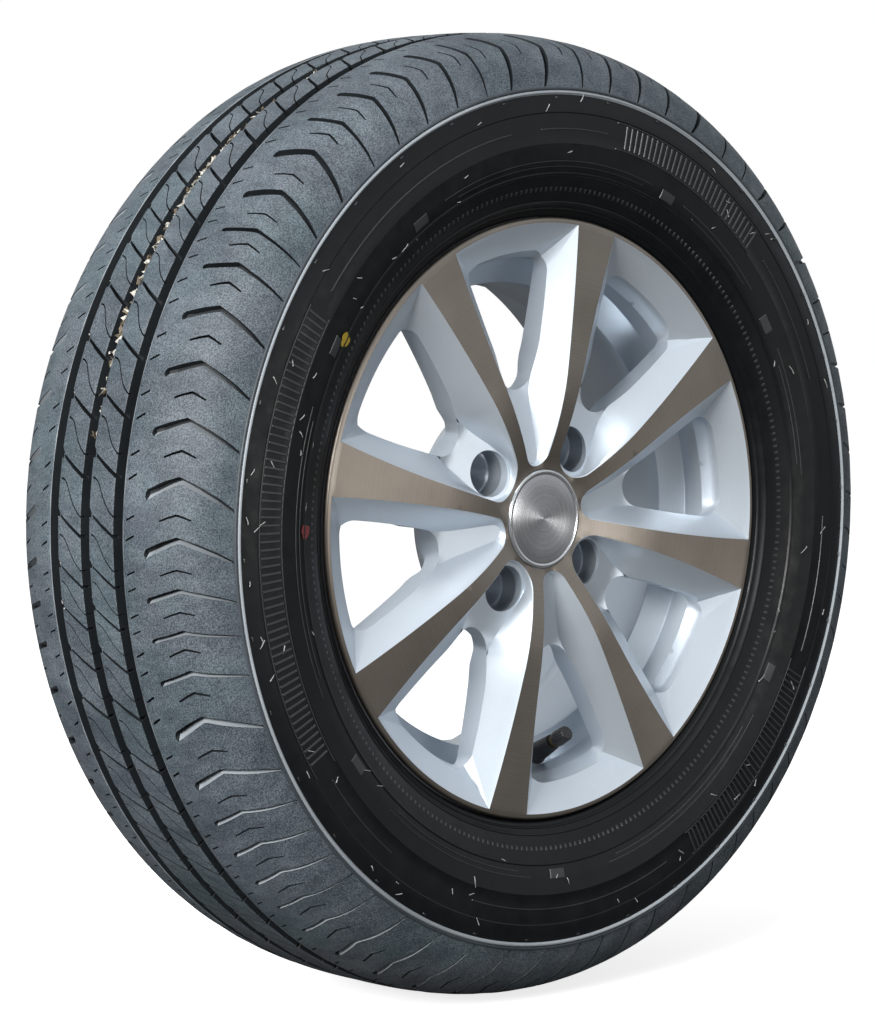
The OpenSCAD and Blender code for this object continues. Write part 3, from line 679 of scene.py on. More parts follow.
def shoulder_rib():
    """Shoulder with its chevron slots, whose lower wall slants up to the light and is painted lighter as a
    painted highlight.
    """
    def at(base, table):
        return [(s, base + k * MM) for s, k in table]

    a = SIDE_AT * U
    b = a - 0.53 * U
    above = at(a, [(49.9, 1.1), (51.3, 0.7), (61.0, 0.05), (70.6, -0.55), (73.0, -0.42), (84.0, 0.28),
                   (94.0, 1.05), (102.6, 1.9)])
    below = at(a, [(49.9, 1.3), (51.0, 1.54), (62.0, 0.76), (71.0, 0.14), (73.0, 0.16), (84.0, 0.86),
                   (94.0, 1.52), (102.9, 2.2)])
    top = below[1::-1] + at(a, [(50.2, 0.95)]) + above[1:5] + below[4:1:-1]
    lower = above[4:] + below[:3:-1]
    small = at(b, [(60.0, 0.75), (65.0, 0.35), (70.5, 0), (74.5, 0.22), (79.0, 0.52)])
    upper_edge, lower_edge = list(zip(*above)), list(zip(*below))

    def slant(s, u):
        deep = interp(s, [49.9, 54, 70, 73, 84, 102.9], [2.6, 5.0, 5.0, 4.4, 3.8, 2.6])
        u0, u1 = interp(s, *upper_edge), interp(s, *lower_edge)
        across = clamp((u - u0) / max(0.3, u1 - u0))
        return deep + (0.5 - deep) * max(0.0, (across - LIT_FROM) / (1 - LIT_FROM))

    def lit_strip(ss):
        """Part of a slot between its floor and its lower edge."""
        ends = [(s, interp(s, *upper_edge), interp(s, *lower_edge)) for s in ss]
        return [(s, u0 + (u1 - u0) * LIT_FROM) for s, u0, u1 in ends] + [(s, u1) for s, _, u1 in ends[::-1]]

    zones = [
        dict(poly=top, depth=slant),
        dict(poly=lower, depth=slant),
        # The lower strip of each chevron slot takes material 3, the light rubber: painted highlight.
        dict(poly=lit_strip([51.0, 53.0, 56.0, 59.0, 62.0, 65.0, 68.0, 71.0, 73.0]), depth=slant, mat=3),
        dict(poly=lit_strip([73.0, 77.0, 80.5, 84.0, 89.0, 94.0, 99.0, 102.6]), depth=slant, mat=3),
        dict(poly=ribbon(small, [1.0, 1.2, 1.4, 1.2, 0.9]),
             depth=lambda s, u: 2.6 if u < interp(s, *zip(*small)) else 0.35),
    ]
    for k in (0.05, -2.15):
        nib = at(a, [(36.4, k), (42.6, k - 0.55)])
        zones.append(dict(poly=ribbon(nib, [1.1, 1.1]), depth=const(2.4)))
    rows = [39.5, 46.0, 50.5, 55, 59.5, 64, 67.5, 71, 75, 79, 83, 87, 91, 95, 99]
    return Rib(GROOVE_GAP + GROOVE_W / 2, 103.0, zones, rows, False)


def pitch_map(starts, k, at, shift, back=False):
    """Angle over one pitch that meets its neighbours, whatever their lengths."""
    th, pitch = starts[k]
    way = 1 if back else -1
    other, length = starts[(k - way) % len(starts)]
    far = other + way * at * length
    if (other - th) * way > 0:
        far -= 360 * way

    def angle(u):
        t = u / U
        if t <= at:
            return th + shift + way * pitch * (at - t)
        return th + shift + (far - th) * (t - at) / (1 - at)

    return angle


def tyre_shell():
    tyre, back = Shell(), Shell()
    k_a = 360.0 / sum(PITCH[c] for c in PITCHES)
    starts, a = [], 80.0
    for c in PITCHES:
        starts.append((a, PITCH[c] * k_a))
        a += PITCH[c] * k_a
    for s_in, shift in ((GROOVE_W / 2, 0.0), (-GROOVE_GAP + GROOVE_W / 2, 0.3)):
        rib = centre_rib(s_in)
        for k in range(len(starts)):
            turn = pitch_map(starts, k, RIB_AT, shift)
            tyre.join(rib.shell(lambda s, u: turn(u) + (s - rib.s1 - 2.0) * 0.117))
    rib = shoulder_rib()
    for k in range(len(starts)):
        turn = pitch_map(starts, k, SIDE_AT, 0.0)
        tyre.join(rib.shell(lambda s, u: turn(u)))
        turn = pitch_map(starts, k, SIDE_AT, -1.2, True)
        back.join(rib.shell(lambda s, u: -turn(u)))
    back.v = [(x, -y, -z) for x, y, z in back.v]
    tyre.join(back)
    # Groove floors, in the darker groove rubber of painted shade
    for mid in (0.0, GROOVE_GAP, -GROOVE_GAP):
        half = GROOVE_W / 2 - 0.7
        floor = [surf(s, GROOVE_D) for s in (mid - half, mid - 1.5, mid + 1.5, mid + half)]
        tyre.revolve(floor, 1, 360, 0.0, flip=True)
    # Side walls, from the shoulder's ridge past the bead to the tyre's inside
    ridge = [surf(s, d) for s, d in (
        (103.0, 0), (103.2, -0.45), (103.7, -0.85), (104.4, -0.85), (104.8, -0.3), (105.1, 0.25),
        (105.5, -0.25), (105.9, -0.75), (106.7, -0.75), (107.2, 0.1), (107.6, 0.5))]
    wall = [ridge[-1], surf(109.0, 0.55)]
    for r in (264, 260, 256, 252, 248, 245, 243.8, 243.2, 238, 232, 226.0, 225.4, 221, 217, 213):
        if r < surf(110.5)[0]:
            wall.append((r, wall_z(r) - (0.5 if 225.5 < r < 243.5 else 0.1)))
    wall += [(208.4, 87.4), (207.6, 87.9), (206.6, 87.5), (206.0, 86.5), (203, 85.4), (199, 84.0),
             (194.5, 82.0), (191.2, 80.1), (190.6, 80.3), (189.8, 79.6), (189.2, 78.3), (187.4, 77.1),
             (186.9, 77.3), (186.2, 76.7), (185.8, 75.9), (184.9, 75.4), (184.0, 74.9), (183.4, 74.2),
             (183.1, 73.4)]
    wall += arc(CURL_MID, CURL_R + 0.15, -10, -90, 5)
    wall += [(168.7, 63.3), (164.85, 59.9), (163.65, 46.5), (164.3, 44.9), (167.3, 45.3), (176.7, 54.5),
             (188.7, 69.0), (202.7, 77.0), (226.4, 84.5)]
    wall += [crown_curve(90 * k / 8, 281, 84.5, 2.8) for k in range(1, 9)]
    for side in (1, -1):
        # The first shoulder ridge takes the ridge rubber and the second the light highlight rubber, both
        # lighter than the side wall as painted highlight.
        for line, mat in ((ridge[:6], 5), (ridge[5:], 3), (wall, 2)):
            tyre.revolve([(r, z * side) for r, z in line], mat, 360, 0.0, flip=side < 0)
    return tyre


def bar(shell, r0, r1, a0, a1, sink, rise, side, steps=1):
    """Raised bar on the side wall between two radii and two angles, with sloping flanks."""
    flank = min(0.28, (r1 - r0) / 4)
    turn = math.degrees(min(0.28, (a1 - a0) / 57.3 * r0 / 4) / r0)
    rs = [r0, r0 + flank, *np.linspace(r0, r1, steps + 1)[1:-1], r1 - flank, r1]
    n = max(1, int((a1 - a0) / 1.5))
    angles = [a0, a0 + turn, *np.linspace(a0 + turn, a1 - turn, n + 1)[1:-1], a1 - turn, a1]
    rows = []
    for a in angles:
        drops = [sink if a in (a0, a1) or r in (r0, r1) else rise for r in rs]
        rows.append([polar(r, a, side * (wall_z(r) - d)) for r, d in zip(rs, drops)])
    shell.strip(rows, 0, flip=side < 0)


def relief_shell():
    out = Shell()
    for side in (1, -1):
        # Ribbed panels where a tyre carries its names, left without any text
        for a0, a1, step in ((148, 214, 1.1), (46, 80, 1.1), (298, 334, 0.95)):
            for k in range(int((a1 - a0) / step)):
                a = a0 + k * step
                bar(out, 227.5, 241.8, a, a + step * 0.34, 0.56, 0.05, side)
            bar(out, 242.1, 242.8, a0 - 0.6, a1 + 0.2, 0.56, 0.0, side)
            bar(out, 226.1, 226.8, a0 - 0.6, a1 + 0.2, 0.56, 0.0, side)
        for a0, a1 in ((216, 232), (82, 96), (336, 358), (20, 42), (250, 292), (102, 144)):
            bar(out, 233.6, 234.4, a0, a1, 0.56, 0.1, side)
        # Thin lines and plain pads towards the bead
        for a0, a1 in ((5, 28), (40, 62), (70, 118), (160, 205), (228, 262), (280, 322)):
            bar(out, 214.6, 215.2, a0, a1, 0.15, -0.25, side)
            bar(out, 211.4, 212.0, a0 + 2, a1 - 3, 0.15, -0.25, side)
        for a in (33, 66, 124, 150, 218, 268, 330):
            bar(out, 210.2, 216.2, a - 1.6, a + 1.6, 0.15, -0.35, side, 2)
        # Fine band above the rim, and marks near the shoulder
        for k in range(300):
            bar(out, 195.2, 199.6, 1.2 * k, 1.2 * k + 0.5, 0.2, -0.12, side)
        for k in range(36):
            bar(out, 252.0, 253.0, 10 * k + 2, 10 * k + 2.6, 0.15, -0.2, side)
    return out


def hair_shell():
    """Moulding hairs left by the vents."""
    out = Shell()
    spots = []
    for _ in range(74):
        r = rng.choice((246, 248, 250, 239, 232, 208, 216, 221)) + rng.uniform(-1, 1)
        spots.append((r, rng.uniform(0, 360)))
    for r, a in spots:
        for side in (1, -1):
            n = rng.randint(4, 6)
            lean = rng.uniform(-1.2, 1.2) + (math.pi if rng.random() < 0.4 else 0)
            length = rng.uniform(2.6, 7.0)
            rows = []
            for k in range(n + 1):
                t = k / n
                rr = r + length * t * math.sin(lean)
                aa = a + math.degrees(length * t * math.cos(lean) / r)
                rise = 0.1 + 0.42 * math.sin(math.pi * min(1, t * 1.2))
                z = wall_z(rr) + min(rise, HALF_W - 0.4 - wall_z(rr))
                thick = 0.36 * (1 - 0.5 * k / n)
                row = []
                for e in (TAU * b / 5 for b in range(5)):
                    q = thick * math.cos(e)
                    turn = math.degrees(q * -math.sin(lean) / rr)
                    row.append(polar(rr + q * math.cos(lean), aa + turn, side * (z + thick * math.sin(e))))
                rows.append(row)
            out.strip(rows, 0, closed=True)
            out.add(rows[-1], [[0, 1, 2, 3, 4]], 0)
    return out


def debris_and_glint_shell():
    """Grit and pale crumbs caught in the middle groove, and pale specks on two groove edges as painted glints.
    """
    out = Shell()
    for _ in range(420):
        a = rng.choice((rng.gauss(131, 5), rng.gauss(146, 9), rng.uniform(112, 170)))
        s_at = rng.gauss(0.6, 2.0)
        if abs(s_at) > 3.2:
            continue
        size = rng.uniform(0.8, 3.0)
        base = rng.uniform(2.2, 6.4)
        pts = []
        for _ in range(6):
            r, z = surf(s_at + rng.uniform(-1, 1) * size, base + rng.uniform(-1, 1) * size)
            pts.append(polar(r, a + math.degrees(rng.uniform(-1, 1) * size * 1.3 / r), z))
        out.add(pts, [[0, 1, 2], [0, 2, 3], [3, 4, 5], [1, 4, 2], [0, 5, 1]], rng.choice((0, 0, 1)))
    # Pale specks on the edges of two grooves: painted glints where the edges catch the light
    for _ in range(70):
        a = rng.uniform(140, 212)
        edge = GROOVE_W / 2 + 0.5
        s_at = rng.choice((edge, edge - GROOVE_GAP)) + rng.uniform(-0.3, 0.6)
        size = rng.uniform(0.5, 1.1)
        pts = []
        for q in range(4):
            r, z = surf(s_at + rng.uniform(-1, 1) * size, 0.3 + 0.25 * q)
            pts.append(polar(r, a + math.degrees(rng.uniform(-1, 1) * size * 1.6 / r), z))
        out.add(pts, [[0, 1, 2], [0, 2, 3], [0, 3, 1], [1, 3, 2]], 0)
    return out


def dot_shell(r0, a0, size, n=20):
    """Dab of paint on the side wall."""
    out = Shell()
    ring = []
    for k in range(n):
        e = TAU * k / n
        q = size * (1 + 0.12 * math.sin(3 * e + 1) + 0.07 * math.sin(5 * e))
        rr = r0 + q * math.sin(e)
        ring.append(polar(rr, a0 + math.degrees(q * math.cos(e) / r0), wall_z(rr) + 0.45))
    out.add(ring + [polar(r0, a0, wall_z(r0) + 0.6)], [[k, (k + 1) % n, n] for k in range(n)], 0)
    return out


def cap_shells():
    body, disc = Shell(), Shell()
    prof = [(0.0, 68.9), (27.03, 68.9), (27.08, 69.6), (27.35, 70.12), (27.7, 70.25), (28.9, 70.3),
            (29.35, 70.2), (29.72, 69.85), (29.95, 69.3), (30.0, 68.7), (30.0, 64.8), (28.0, 64.8),
            (28.0, 66.7), (0.0, 66.7)]
    body.revolve(prof, 0, 128, flip=True)
    half = math.degrees(math.asin(5 / 27))
    leg = [(24.4, 54), (26.6, 54), (28.3, 56), (28.3, 56.6), (27.4, 58.4), (27.4, 67.1), (25.2, 67.1),
           (25.2, 57.6), (24.4, 57)]
    for k in range(8):
        mid = 45 * (k + 0.5)
        rows = [[polar(r, mid - half + 2 * half * j / 6, z) for r, z in leg] for j in range(7)]
        body.strip(rows, 0, closed=True)
        for row, way in ((rows[0], 1), (rows[-1], -1)):
            body.add(row, [list(range(len(row)))[::way]], 0)
    prof = [(0.0, 69.73), (9.0, 69.73), (18.0, 69.73), (26.5, 69.73), (26.8, 69.68), (26.95, 69.5),
            (27.0, 69.2), (27.0, 68.93), (0.0, 68.93)]
    disc.revolve(prof, 0, 128, flip=True)
    return body, disc


def valve_shells():
    """Rubber body, brass stem and screw cap, in the valve's own frame."""
    body, stem, cap = Shell(), Shell(), Shell()
    prof = [(3.2, -12.5), (6.15, -12.5), (6.7, -12.2), (7.6, -10.9), (7.75, -10.4), (7.35, -5.6),
            (5.62, -5.1), (5.62, 0.05), (7.0, 0.1), (7.0, 1.5), (6.9, 1.9), (6.1, 2.8), (6.28, 3.4),
            (6.05, 7.0), (5.7, 11.0), (5.4, 15.0), (5.1, 19.3), (5.0, 19.7), (4.7, 20.0), (3.2, 20.0)]
    body.revolve(prof, 0, 48, flip=True)
    prof = [(1.9, -10.0), (3.17, -10.0), (3.17, 20.3), (3.85, 20.9)]
    for k in range(9):
        prof += [(3.85, 21.4 + 0.8 * k), (3.45, 21.8 + 0.8 * k)]
    prof += [(3.85, 29.5), (3.35, 30.0), (2.65, 30.0), (2.65, 17.3), (1.9, 15.5)]
    stem.revolve(prof, 0, 48, flip=True)
    # Levels of the ribbed screw cap: height, radius and share of the ribs' depth
    levels = [(31.9, 4.15, 0), (24.5, 4.15, 0), (24.5, 4.7, 0), (24.62, 4.9, 0), (25.1, 5.0, 0),
              (26.4, 5.0, 0), (26.6, 4.98, 1), (34.2, 4.74, 1), (34.6, 4.5, 0.7), (35.1, 4.0, 0.2),
              (35.4, 3.6, 0), (35.5, 3.2, 0)]
    n = 96
    cuts = [max(0.0, math.cos(12 * TAU * i / n)) ** 1.4 * 0.42 for i in range(n)]
    rows = [[polar(r - cuts[i] * ribs, 360 * i / n, z) for i in range(n)] for z, r, ribs in levels]
    cap.strip(rows, 0, closed=True)
    cap.add(rows[-1], [list(range(n))], 0)
    cap.add(rows[0], [list(range(n))[::-1]], 0)
    return body, stem, cap


# Materials
def material(name):
    m = bpy.data.materials.new(name)
    m.use_nodes = True
    return m, m.node_tree, m.node_tree.nodes["Principled BSDF"]


def fill(nt, n, sockets):
    """Gives a node's sockets their values, or links them where the value is an output."""
    for key, value in sockets.items():
        if isinstance(value, bpy.types.NodeSocket):
            nt.links.new(value, n.inputs[key])
        else:
            n.inputs[key].default_value = value


def node(nt, kind, sockets=None, out=0, **props):
    """Adds a node and returns one of its outputs."""
    n = nt.nodes.new("ShaderNode" + kind)
    for key, value in props.items():
        setattr(n, key, value)
    fill(nt, n, sockets or {})
    return n.outputs[out]


def coords(nt, scale=(1, 1, 1)):
    return node(nt, "Mapping", {"Scale": scale, "Vector": node(nt, "TexCoord", out="Object")})


def noise(nt, vec, scale, detail=3.0, rough=0.55):
    return node(nt, "TexNoise", {"Scale": scale, "Detail": detail, "Roughness": rough, "Vector": vec}, "Fac")


def ramp(nt, fac, *stops):
    n = nt.nodes.new("ShaderNodeValToRGB")
    e = n.color_ramp.elements
    while len(e) < len(stops):
        e.new(0.5)
    for k, (pos, col) in enumerate(stops):
        e[k].position = pos
        e[k].color = (*col, 1)
    nt.links.new(fac, n.inputs["Fac"])
    return n.outputs["Color"]


def remap(nt, fac, lo, hi, a=0.0, b=1.0):
    sockets = {"From Min": a, "From Max": b, "To Min": lo, "To Max": hi, "Value": fac}
    return node(nt, "MapRange", sockets, "Result")


def bump(nt, height, strength, dist):
    return node(nt, "Bump", {"Strength": strength, "Distance": dist, "Height": height}, "Normal")


def multiplied(nt, share, a, b):
    sockets = {"Factor": share, 6: a, 7: b}
    return node(nt, "Mix", sockets, 2, data_type="RGBA", blend_type="MULTIPLY")


def turned_metal(name, dark, light, rough, pitch, aniso):
    """Metal turned about the axle, with fine rings whose pitch is in metres."""
    m, nt, b = material(name)
    flat = node(nt, "VectorMath", {0: node(nt, "TexCoord", out="Object"), 1: (1, 0, 1)}, operation="MULTIPLY")
    radius = node(nt, "VectorMath", {0: flat}, "Value", operation="LENGTH")
    scaled = node(nt, "Math", {0: radius, 1: 1.0 / pitch}, operation="MULTIPLY")
    ring = noise(nt, node(nt, "CombineXYZ", {0: scaled}), 1.0, 2.0, 0.5)
    cloud = noise(nt, coords(nt), 14.0, 4.0)
    tone = node(nt, "Math", {0: remap(nt, ring, -0.45, 0.45), 1: cloud}, operation="ADD")
    fill(nt, b, {
        "Base Color": ramp(nt, tone, (0.2, dark), (0.8, light)),
        "Metallic": 1.0,
        "Anisotropic": aniso,
        "Anisotropic Rotation": 0.25,
        "Coat Weight": 0.15,
        "Coat Roughness": 0.08,
        "Roughness": remap(nt, ring, rough - 0.06, rough + 0.08),
        "Tangent": node(nt, "Tangent", direction_type="RADIAL", axis="Y"),
        "Normal": bump(nt, ring, 0.25, 0.00005),
    })
    return m


def silver_paint(name, dark, light, rough):
    m, nt, b = material(name)
    vec = coords(nt)
    flake = noise(nt, vec, 1900.0, 2.0, 0.7)
    cloud = remap(nt, noise(nt, vec, 22.0, 4.0), 0.12, 0.4)
    tone = node(nt, "Math", {0: flake, 1: 0.55, 2: cloud}, operation="MULTIPLY_ADD")
    fill(nt, b, {
        "Base Color": ramp(nt, tone, (0.2, dark), (0.8, light)),
        "Metallic": 0.62,
        "Roughness": rough,
        "Coat Weight": 0.3,
        "Coat Roughness": 0.12,
        "Normal": bump(nt, flake, 0.25, 0.00008),
    })
    return m


def rubber(name, dark, light, rough, grain=900.0, depth=0.00012, spec=0.5, patch=0.0):
    m, nt, b = material(name)
    vec = coords(nt)
    fine = noise(nt, vec, grain, 4.0, 0.65)
    speckle = remap(nt, fine, *((-0.3, 0.7, 0.34, 0.66) if patch else (0.05, 0.35)))
    cloud = noise(nt, vec, 16.0, 5.0, 0.6)
    tone = node(nt, "Math", {0: cloud, 1: 0.6, 2: speckle}, operation="MULTIPLY_ADD")
    colour = ramp(nt, tone, (0.25, dark), (0.75, light))
    if patch:
        # Scuffed, dusty patches of slightly different tints
        tint = ramp(nt, noise(nt, vec, 11.0, 6.0, 0.65), (0.32, (0.72, 0.80, 0.78)), (0.44, (0.96, 1.0, 0.98)),
                    (0.54, (1.06, 1.0, 1.0)), (0.66, (1.3, 1.3, 1.26)))
        worn = ramp(nt, noise(nt, coords(nt, (1, 0.25, 1)), 55.0, 6.0, 0.75), (0.38, (0.6, 0.63, 0.68)),
                    (0.6, (1.2, 1.2, 1.2)))
        colour = multiplied(nt, patch * 0.8, multiplied(nt, patch, colour, tint), worn)
    fill(nt, b, {
        "Base Color": colour,
        "Roughness": remap(nt, noise(nt, vec, 90.0, 4.0, 0.6), rough - 0.08, rough + 0.1, 0.3, 0.7),
        "Specular IOR Level": spec,
        "Normal": bump(nt, fine, 0.35, depth),
    })
    return m


def plain(name, color, rough=0.5, metal=0.0, grain=300.0, depth=0.00004, var=0.12, coat=0.0):
    m, nt, b = material(name)
    g = noise(nt, coords(nt), grain, 3.0)
    lo = tuple(c * (1 - var) for c in color)
    hi = tuple(min(1.0, c * (1 + var)) for c in color)
    fill(nt, b, {
        "Base Color": ramp(nt, g, (0.3, lo), (0.7, hi)),
        "Metallic": metal,
        "Coat Weight": coat,
        "Roughness": remap(nt, g, max(0.02, rough - 0.06), rough + 0.06),
        "Normal": bump(nt, g, 0.3, depth),
    })
    return m


MACHINED = turned_metal("machined_face", (0.205, 0.178, 0.152), (0.33, 0.292, 0.255), 0.36, 0.0007, 0.62)
SILVER = silver_paint("silver_paint", (0.56, 0.625, 0.70), (0.72, 0.79, 0.865), 0.38)
# Back of the disc: a lighter copy of the silver paint, painted light where the backdrop would light it.
SILVER_BACK_LIT = silver_paint("silver_back_painted_light", (0.60, 0.655, 0.715), (0.74, 0.80, 0.86), 0.36)
# Bolt pockets: a darker copy of the silver paint, painted shade inside the pockets.
POCKET_SHADE = silver_paint("pocket_painted_shade", (0.30, 0.33, 0.37), (0.42, 0.455, 0.50), 0.34)
TREAD = rubber("tread_rubber", (0.034, 0.046, 0.057), (0.128, 0.156, 0.182), 0.6, 1250.0, 0.0006, 0.45, 1.0)
# Darker rubber for grooves, sipes and slot walls: painted shade in the recesses.
GROOVE_SHADE = rubber("groove_painted_shade", (0.006, 0.008, 0.010), (0.018, 0.022, 0.026), 0.6, spec=0.3)
SIDE = rubber("side_rubber", (0.0016, 0.0020, 0.0026), (0.0052, 0.0064, 0.0078), 0.38, 1100.0, 0.00015, 0.24)
# Light rubber on the chevron slots' lower strips and on the second shoulder ridge: painted highlight.
HIGHLIGHT_RUBBER = rubber("rubber_painted_highlight", (0.24, 0.275, 0.305), (0.42, 0.46, 0.50), 0.5, 800.0, 0.0002)
# Light rubber on rib notches and the shoulder rib's edge: painted glints and edge highlight.
EDGE_HIGHLIGHT = rubber("edge_painted_highlight", (0.13, 0.15, 0.17), (0.27, 0.30, 0.33), 0.38, 700.0, 0.0001, 0.6)
# Ridge rubber, lighter than the side wall: painted highlight on the first shoulder ridge.
RIDGE_HIGHLIGHT = rubber("ridge_painted_highlight", (0.026, 0.034, 0.042), (0.07, 0.083, 0.096), 0.5, 700.0, 0.0001, 0.35)
RELIEF = rubber("relief_rubber", (0.012, 0.014, 0.016), (0.034, 0.038, 0.042), 0.4, 900.0, 0.0001, 0.5)
HAIR = plain("hair", (0.34, 0.35, 0.35), 0.5, 0.0, 900.0, 0.00002, 0.4)
# Pale crumbs in the middle groove, and pale specks on groove edges as painted glints.
CRUMB_AND_GLINT = plain("crumb_and_painted_glint", (0.62, 0.60, 0.54), 0.7, 0.0, 1500.0, 0.0001, 0.4)
GRIT = plain("grit", (0.16, 0.13, 0.09), 0.8, 0.0, 1500.0, 0.0001, 0.5)
YELLOW = plain("yellow_paint", (0.60, 0.42, 0.03), 0.55, 0.0, 800.0, 0.00004, 0.25)
RED = plain("red_paint", (0.22, 0.035, 0.035), 0.6, 0.0, 800.0, 0.00004, 0.4)
CAP_FACE = turned_metal("cap_brushed", (0.44, 0.445, 0.465), (0.68, 0.685, 0.705), 0.25, 0.0008, 0.8)
CAP_RIM = plain("cap_silver", (0.62, 0.64, 0.66), 0.18, 0.9, 400.0, 0.00002, 0.05, 0.4)
VALVE_RUBBER = rubber("valve_rubber", (0.012, 0.012, 0.013), (0.025, 0.025, 0.027), 0.55)
BRASS = plain("valve_brass", (0.62, 0.47, 0.22), 0.3, 1.0, 700.0)
# Valve tube brass, darkened for a dull finish and as painted shade.
BRASS_DULL_AND_SHADED = plain("brass_dull_and_painted_shade", (0.12, 0.095, 0.05), 0.45, 0.9, 700.0)
STEEL = plain("core_steel", (0.55, 0.55, 0.56), 0.28, 1.0, 700.0)
RED_SEAL = plain("core_gasket", (0.5, 0.08, 0.05), 0.45)
DUST_CAP = plain("dust_cap_plastic", (0.018, 0.018, 0.02), 0.45, 0.0, 900.0, 0.00006, 0.3)


def paint(name, mat):
    """Gives a CAD node, which stays as it is, its material."""
    ob = NODES[name]
    ob.data.materials.clear()
    ob.data.materials.append(mat)


def piece(name, shell, mats, body, cad_node, sharp, place=in_row):
    """Piece that stands for a CAD node."""
    ob = build(name, shell, mats, sharp, place)
    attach(ob, body)
    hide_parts(cad_node)


def trim(name, shell, mats):
    """Piece on the tyre that stands for no CAD node."""
    ob = build(name, shell, mats)
    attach(ob, "wheel")


rim_mats = [MACHINED, SILVER, SILVER_BACK_LIT, POCKET_SHADE]
tyre_mats = [TREAD, GROOVE_SHADE, SIDE, HIGHLIGHT_RUBBER, EDGE_HIGHLIGHT, RIDGE_HIGHLIGHT]
piece("rim_shell", rim_shell(), rim_mats, "wheel", "alloy_rim", 28)
piece("tyre_shell", tyre_shell(), tyre_mats, "wheel", "tyre", 32)
trim("wall_relief", relief_shell(), [RELIEF])
trim("vent_hairs", hair_shell(), [HAIR])
trim("groove_crumbs_and_glints", debris_and_glint_shell(), [CRUMB_AND_GLINT, GRIT])
trim("yellow_dot", dot_shell(208.2, 148.0, 4.2), [YELLOW])
trim("red_dot", dot_shell(206.0, 179.0, 4.2), [RED])

cap_shell, disc_shell = cap_shells()
piece("cap_shell", cap_shell, [CAP_RIM], "wheel", "cap_body", 35)
piece("cap_face", disc_shell, [CAP_FACE], "wheel", "cap_disc", 35)
v_rubber, v_stem, v_cap = valve_shells()
piece("valve_body", v_rubber, [VALVE_RUBBER], "wheel", "valve_rubber", 35, on_valve)
piece("valve_tube", v_stem, [BRASS_DULL_AND_SHADED], "wheel", "valve_stem", 25, on_valve)
piece("screw_cap", v_cap, [DUST_CAP], "dust_cap", "dust_cap", 35, on_valve)

for name, mat, slot in (
    ("cap_ring", STEEL, "spring_wire"), ("core_plug", BRASS, "valve_brass"),
    ("core_barrel", BRASS, "valve_brass"), ("core_gasket", RED_SEAL, "core_gasket"),
    ("core_pin", STEEL, "core_steel"), ("core_cup", BRASS, "valve_brass"),
    ("core_seal", VALVE_RUBBER, "valve_rubber"), ("dust_cap_seal", VALVE_RUBBER, "valve_rubber"),
):
    paint(name, mat)

# The core's spring as a piece of its own, riding on the wheel
coil = bpy.data.objects.new("core_coil", NODES["core_spring"].data.copy())
scene.collection.objects.link(coil)
coil.data.materials.clear()
coil.data.materials.append(STEEL)
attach(coil, "wheel")
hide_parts("core_spring")
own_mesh(coil)


def direction(azimuth, elevation):
    """Unit vector from the wheel's centre, for angles in degrees."""
    a, e = math.radians(azimuth), math.radians(elevation)
    return Vector((math.sin(a) * math.cos(e), -math.cos(a) * math.cos(e), math.sin(e)))


# Camera at the photograph's angle
AZ, EL, DIST, YAW, PITCH_A, FOCAL, ROLL = -43.581, 3.975, 2.0756, 0.471, -0.015, 3347.52, 0.031
back = direction(AZ + YAW, EL + PITCH_A)
right = Vector((0, 0, 1)).cross(back).normalized()
up = back.cross(right)
c, s = math.cos(math.radians(ROLL)), math.sin(math.radians(ROLL))
cam_m = Matrix((right * c + up * s, up * c - right * s, back)).transposed().to_4x4()
cam_m.translation = direction(AZ, EL) * DIST
cam = bpy.data.cameras.new("camera")
cam.sensor_fit = "AUTO"
cam.sensor_width = 36.0
cam.lens = FOCAL * cam.sensor_width / 1024
cam.clip_start = 0.05
cam.clip_end = 60
cam_ob = bpy.data.objects.new("camera", cam)
scene.collection.objects.link(cam_ob)
cam_ob.matrix_world = cam_m
scene.camera = cam_ob

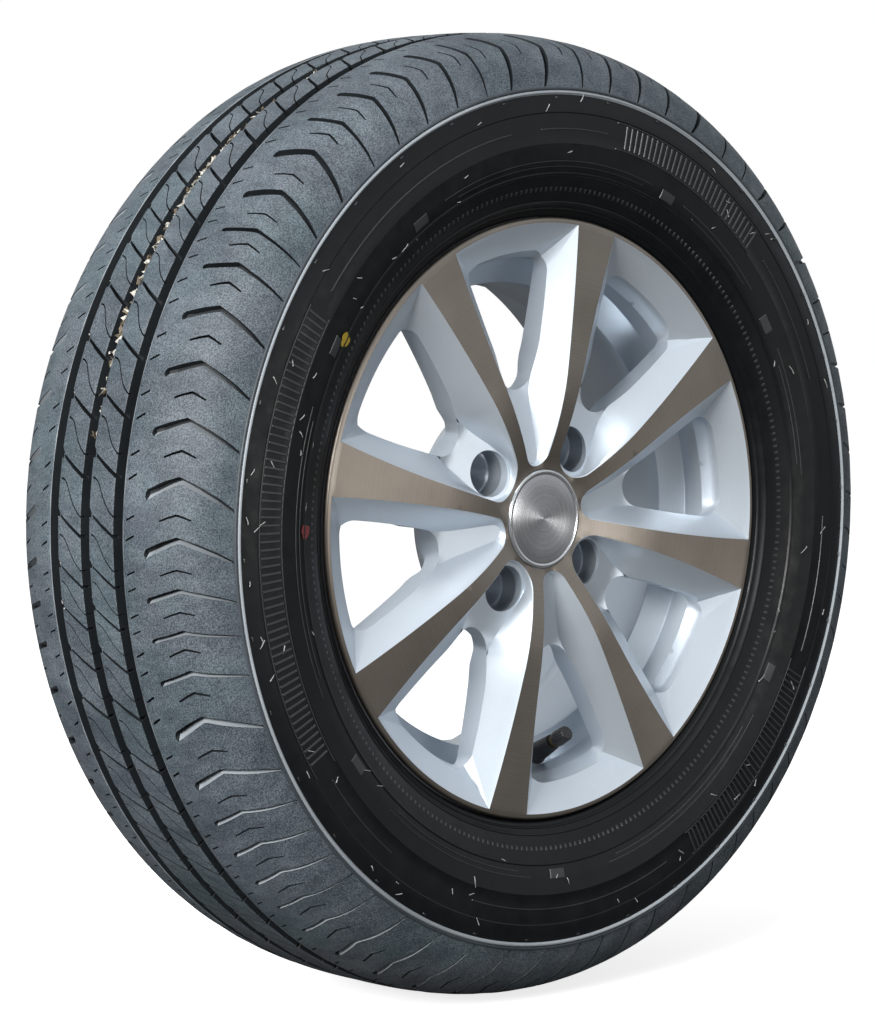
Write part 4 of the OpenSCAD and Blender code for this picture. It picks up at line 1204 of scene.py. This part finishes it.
# Floor: nearly white to the camera, grey to other rays
FLOOR_Z, FLOOR_HALF = -0.2950, 12
me = bpy.data.meshes.new("floor")
corners = [(x * FLOOR_HALF, y * FLOOR_HALF, FLOOR_Z) for x, y in ((-1, -1), (1, -1), (1, 1), (-1, 1))]
me.from_pydata(corners, [], [(0, 1, 2, 3)])
floor = bpy.data.objects.new("floor", me)
scene.collection.objects.link(floor)
WHITE = (1, 1, 1, 1)
m, nt, b = material("floor")
me.materials.append(m)
fill(nt, b, {"Base Color": (0.14, 0.14, 0.14, 1), "Roughness": 0.9, "Specular IOR Level": 0.1})
cast = node(nt, "BsdfDiffuse", {"Color": (0.9, 0.9, 0.9, 1)})
glow = node(nt, "Emission", {"Color": WHITE, "Strength": 0.78})
pale = node(nt, "AddShader", {0: cast, 1: glow})
by_ray = node(nt, "MixShader", {0: node(nt, "LightPath", out="Is Camera Ray"), 1: b.outputs[0], 2: pale})
fill(nt, nt.nodes["Material Output"], {"Surface": by_ray})

# World: soft grey studio light, white to the camera and pale in reflections
world = bpy.data.worlds.new("studio")
scene.world = world
world.use_nodes = True
wt = world.node_tree
soft = wt.nodes["Background"]
fill(wt, soft, {"Color": WHITE, "Strength": 0.27})
white = node(wt, "Background", {"Color": WHITE, "Strength": 1.0})
shine = node(wt, "Background", {"Color": (0.93, 0.97, 1.0, 1), "Strength": 0.7})
lit = node(wt, "MixShader", {0: node(wt, "LightPath", out="Is Glossy Ray"), 1: soft.outputs[0], 2: shine})
by_ray = node(wt, "MixShader", {0: node(wt, "LightPath", out="Is Camera Ray"), 1: lit, 2: white})
fill(wt, wt.nodes["World Output"], {"Surface": by_ray})


def area(name, loc, size, energy, color):
    """Rectangular lamp that points at the wheel's centre."""
    lamp = bpy.data.lights.new(name, "AREA")
    lamp.shape = "RECTANGLE"
    lamp.size, lamp.size_y = size
    lamp.energy = energy
    lamp.color = color
    ob = bpy.data.objects.new(name, lamp)
    scene.collection.objects.link(ob)
    ob.location = loc
    ob.rotation_euler = (-Vector(loc)).to_track_quat("-Z", "Y").to_euler()


area("key", (-2.95, -1.05, 1.15), (1.3, 1.2), 150, (1.0, 0.99, 0.97))
area("strip", (1.15, -3.0, 0.0), (1.3, 0.28), 9, (1.0, 0.98, 0.95))
area("top", (-0.7, -0.5, 2.6), (1.6, 1.6), 18, (1.0, 1.0, 1.0))

scene.view_settings.view_transform = "Standard"
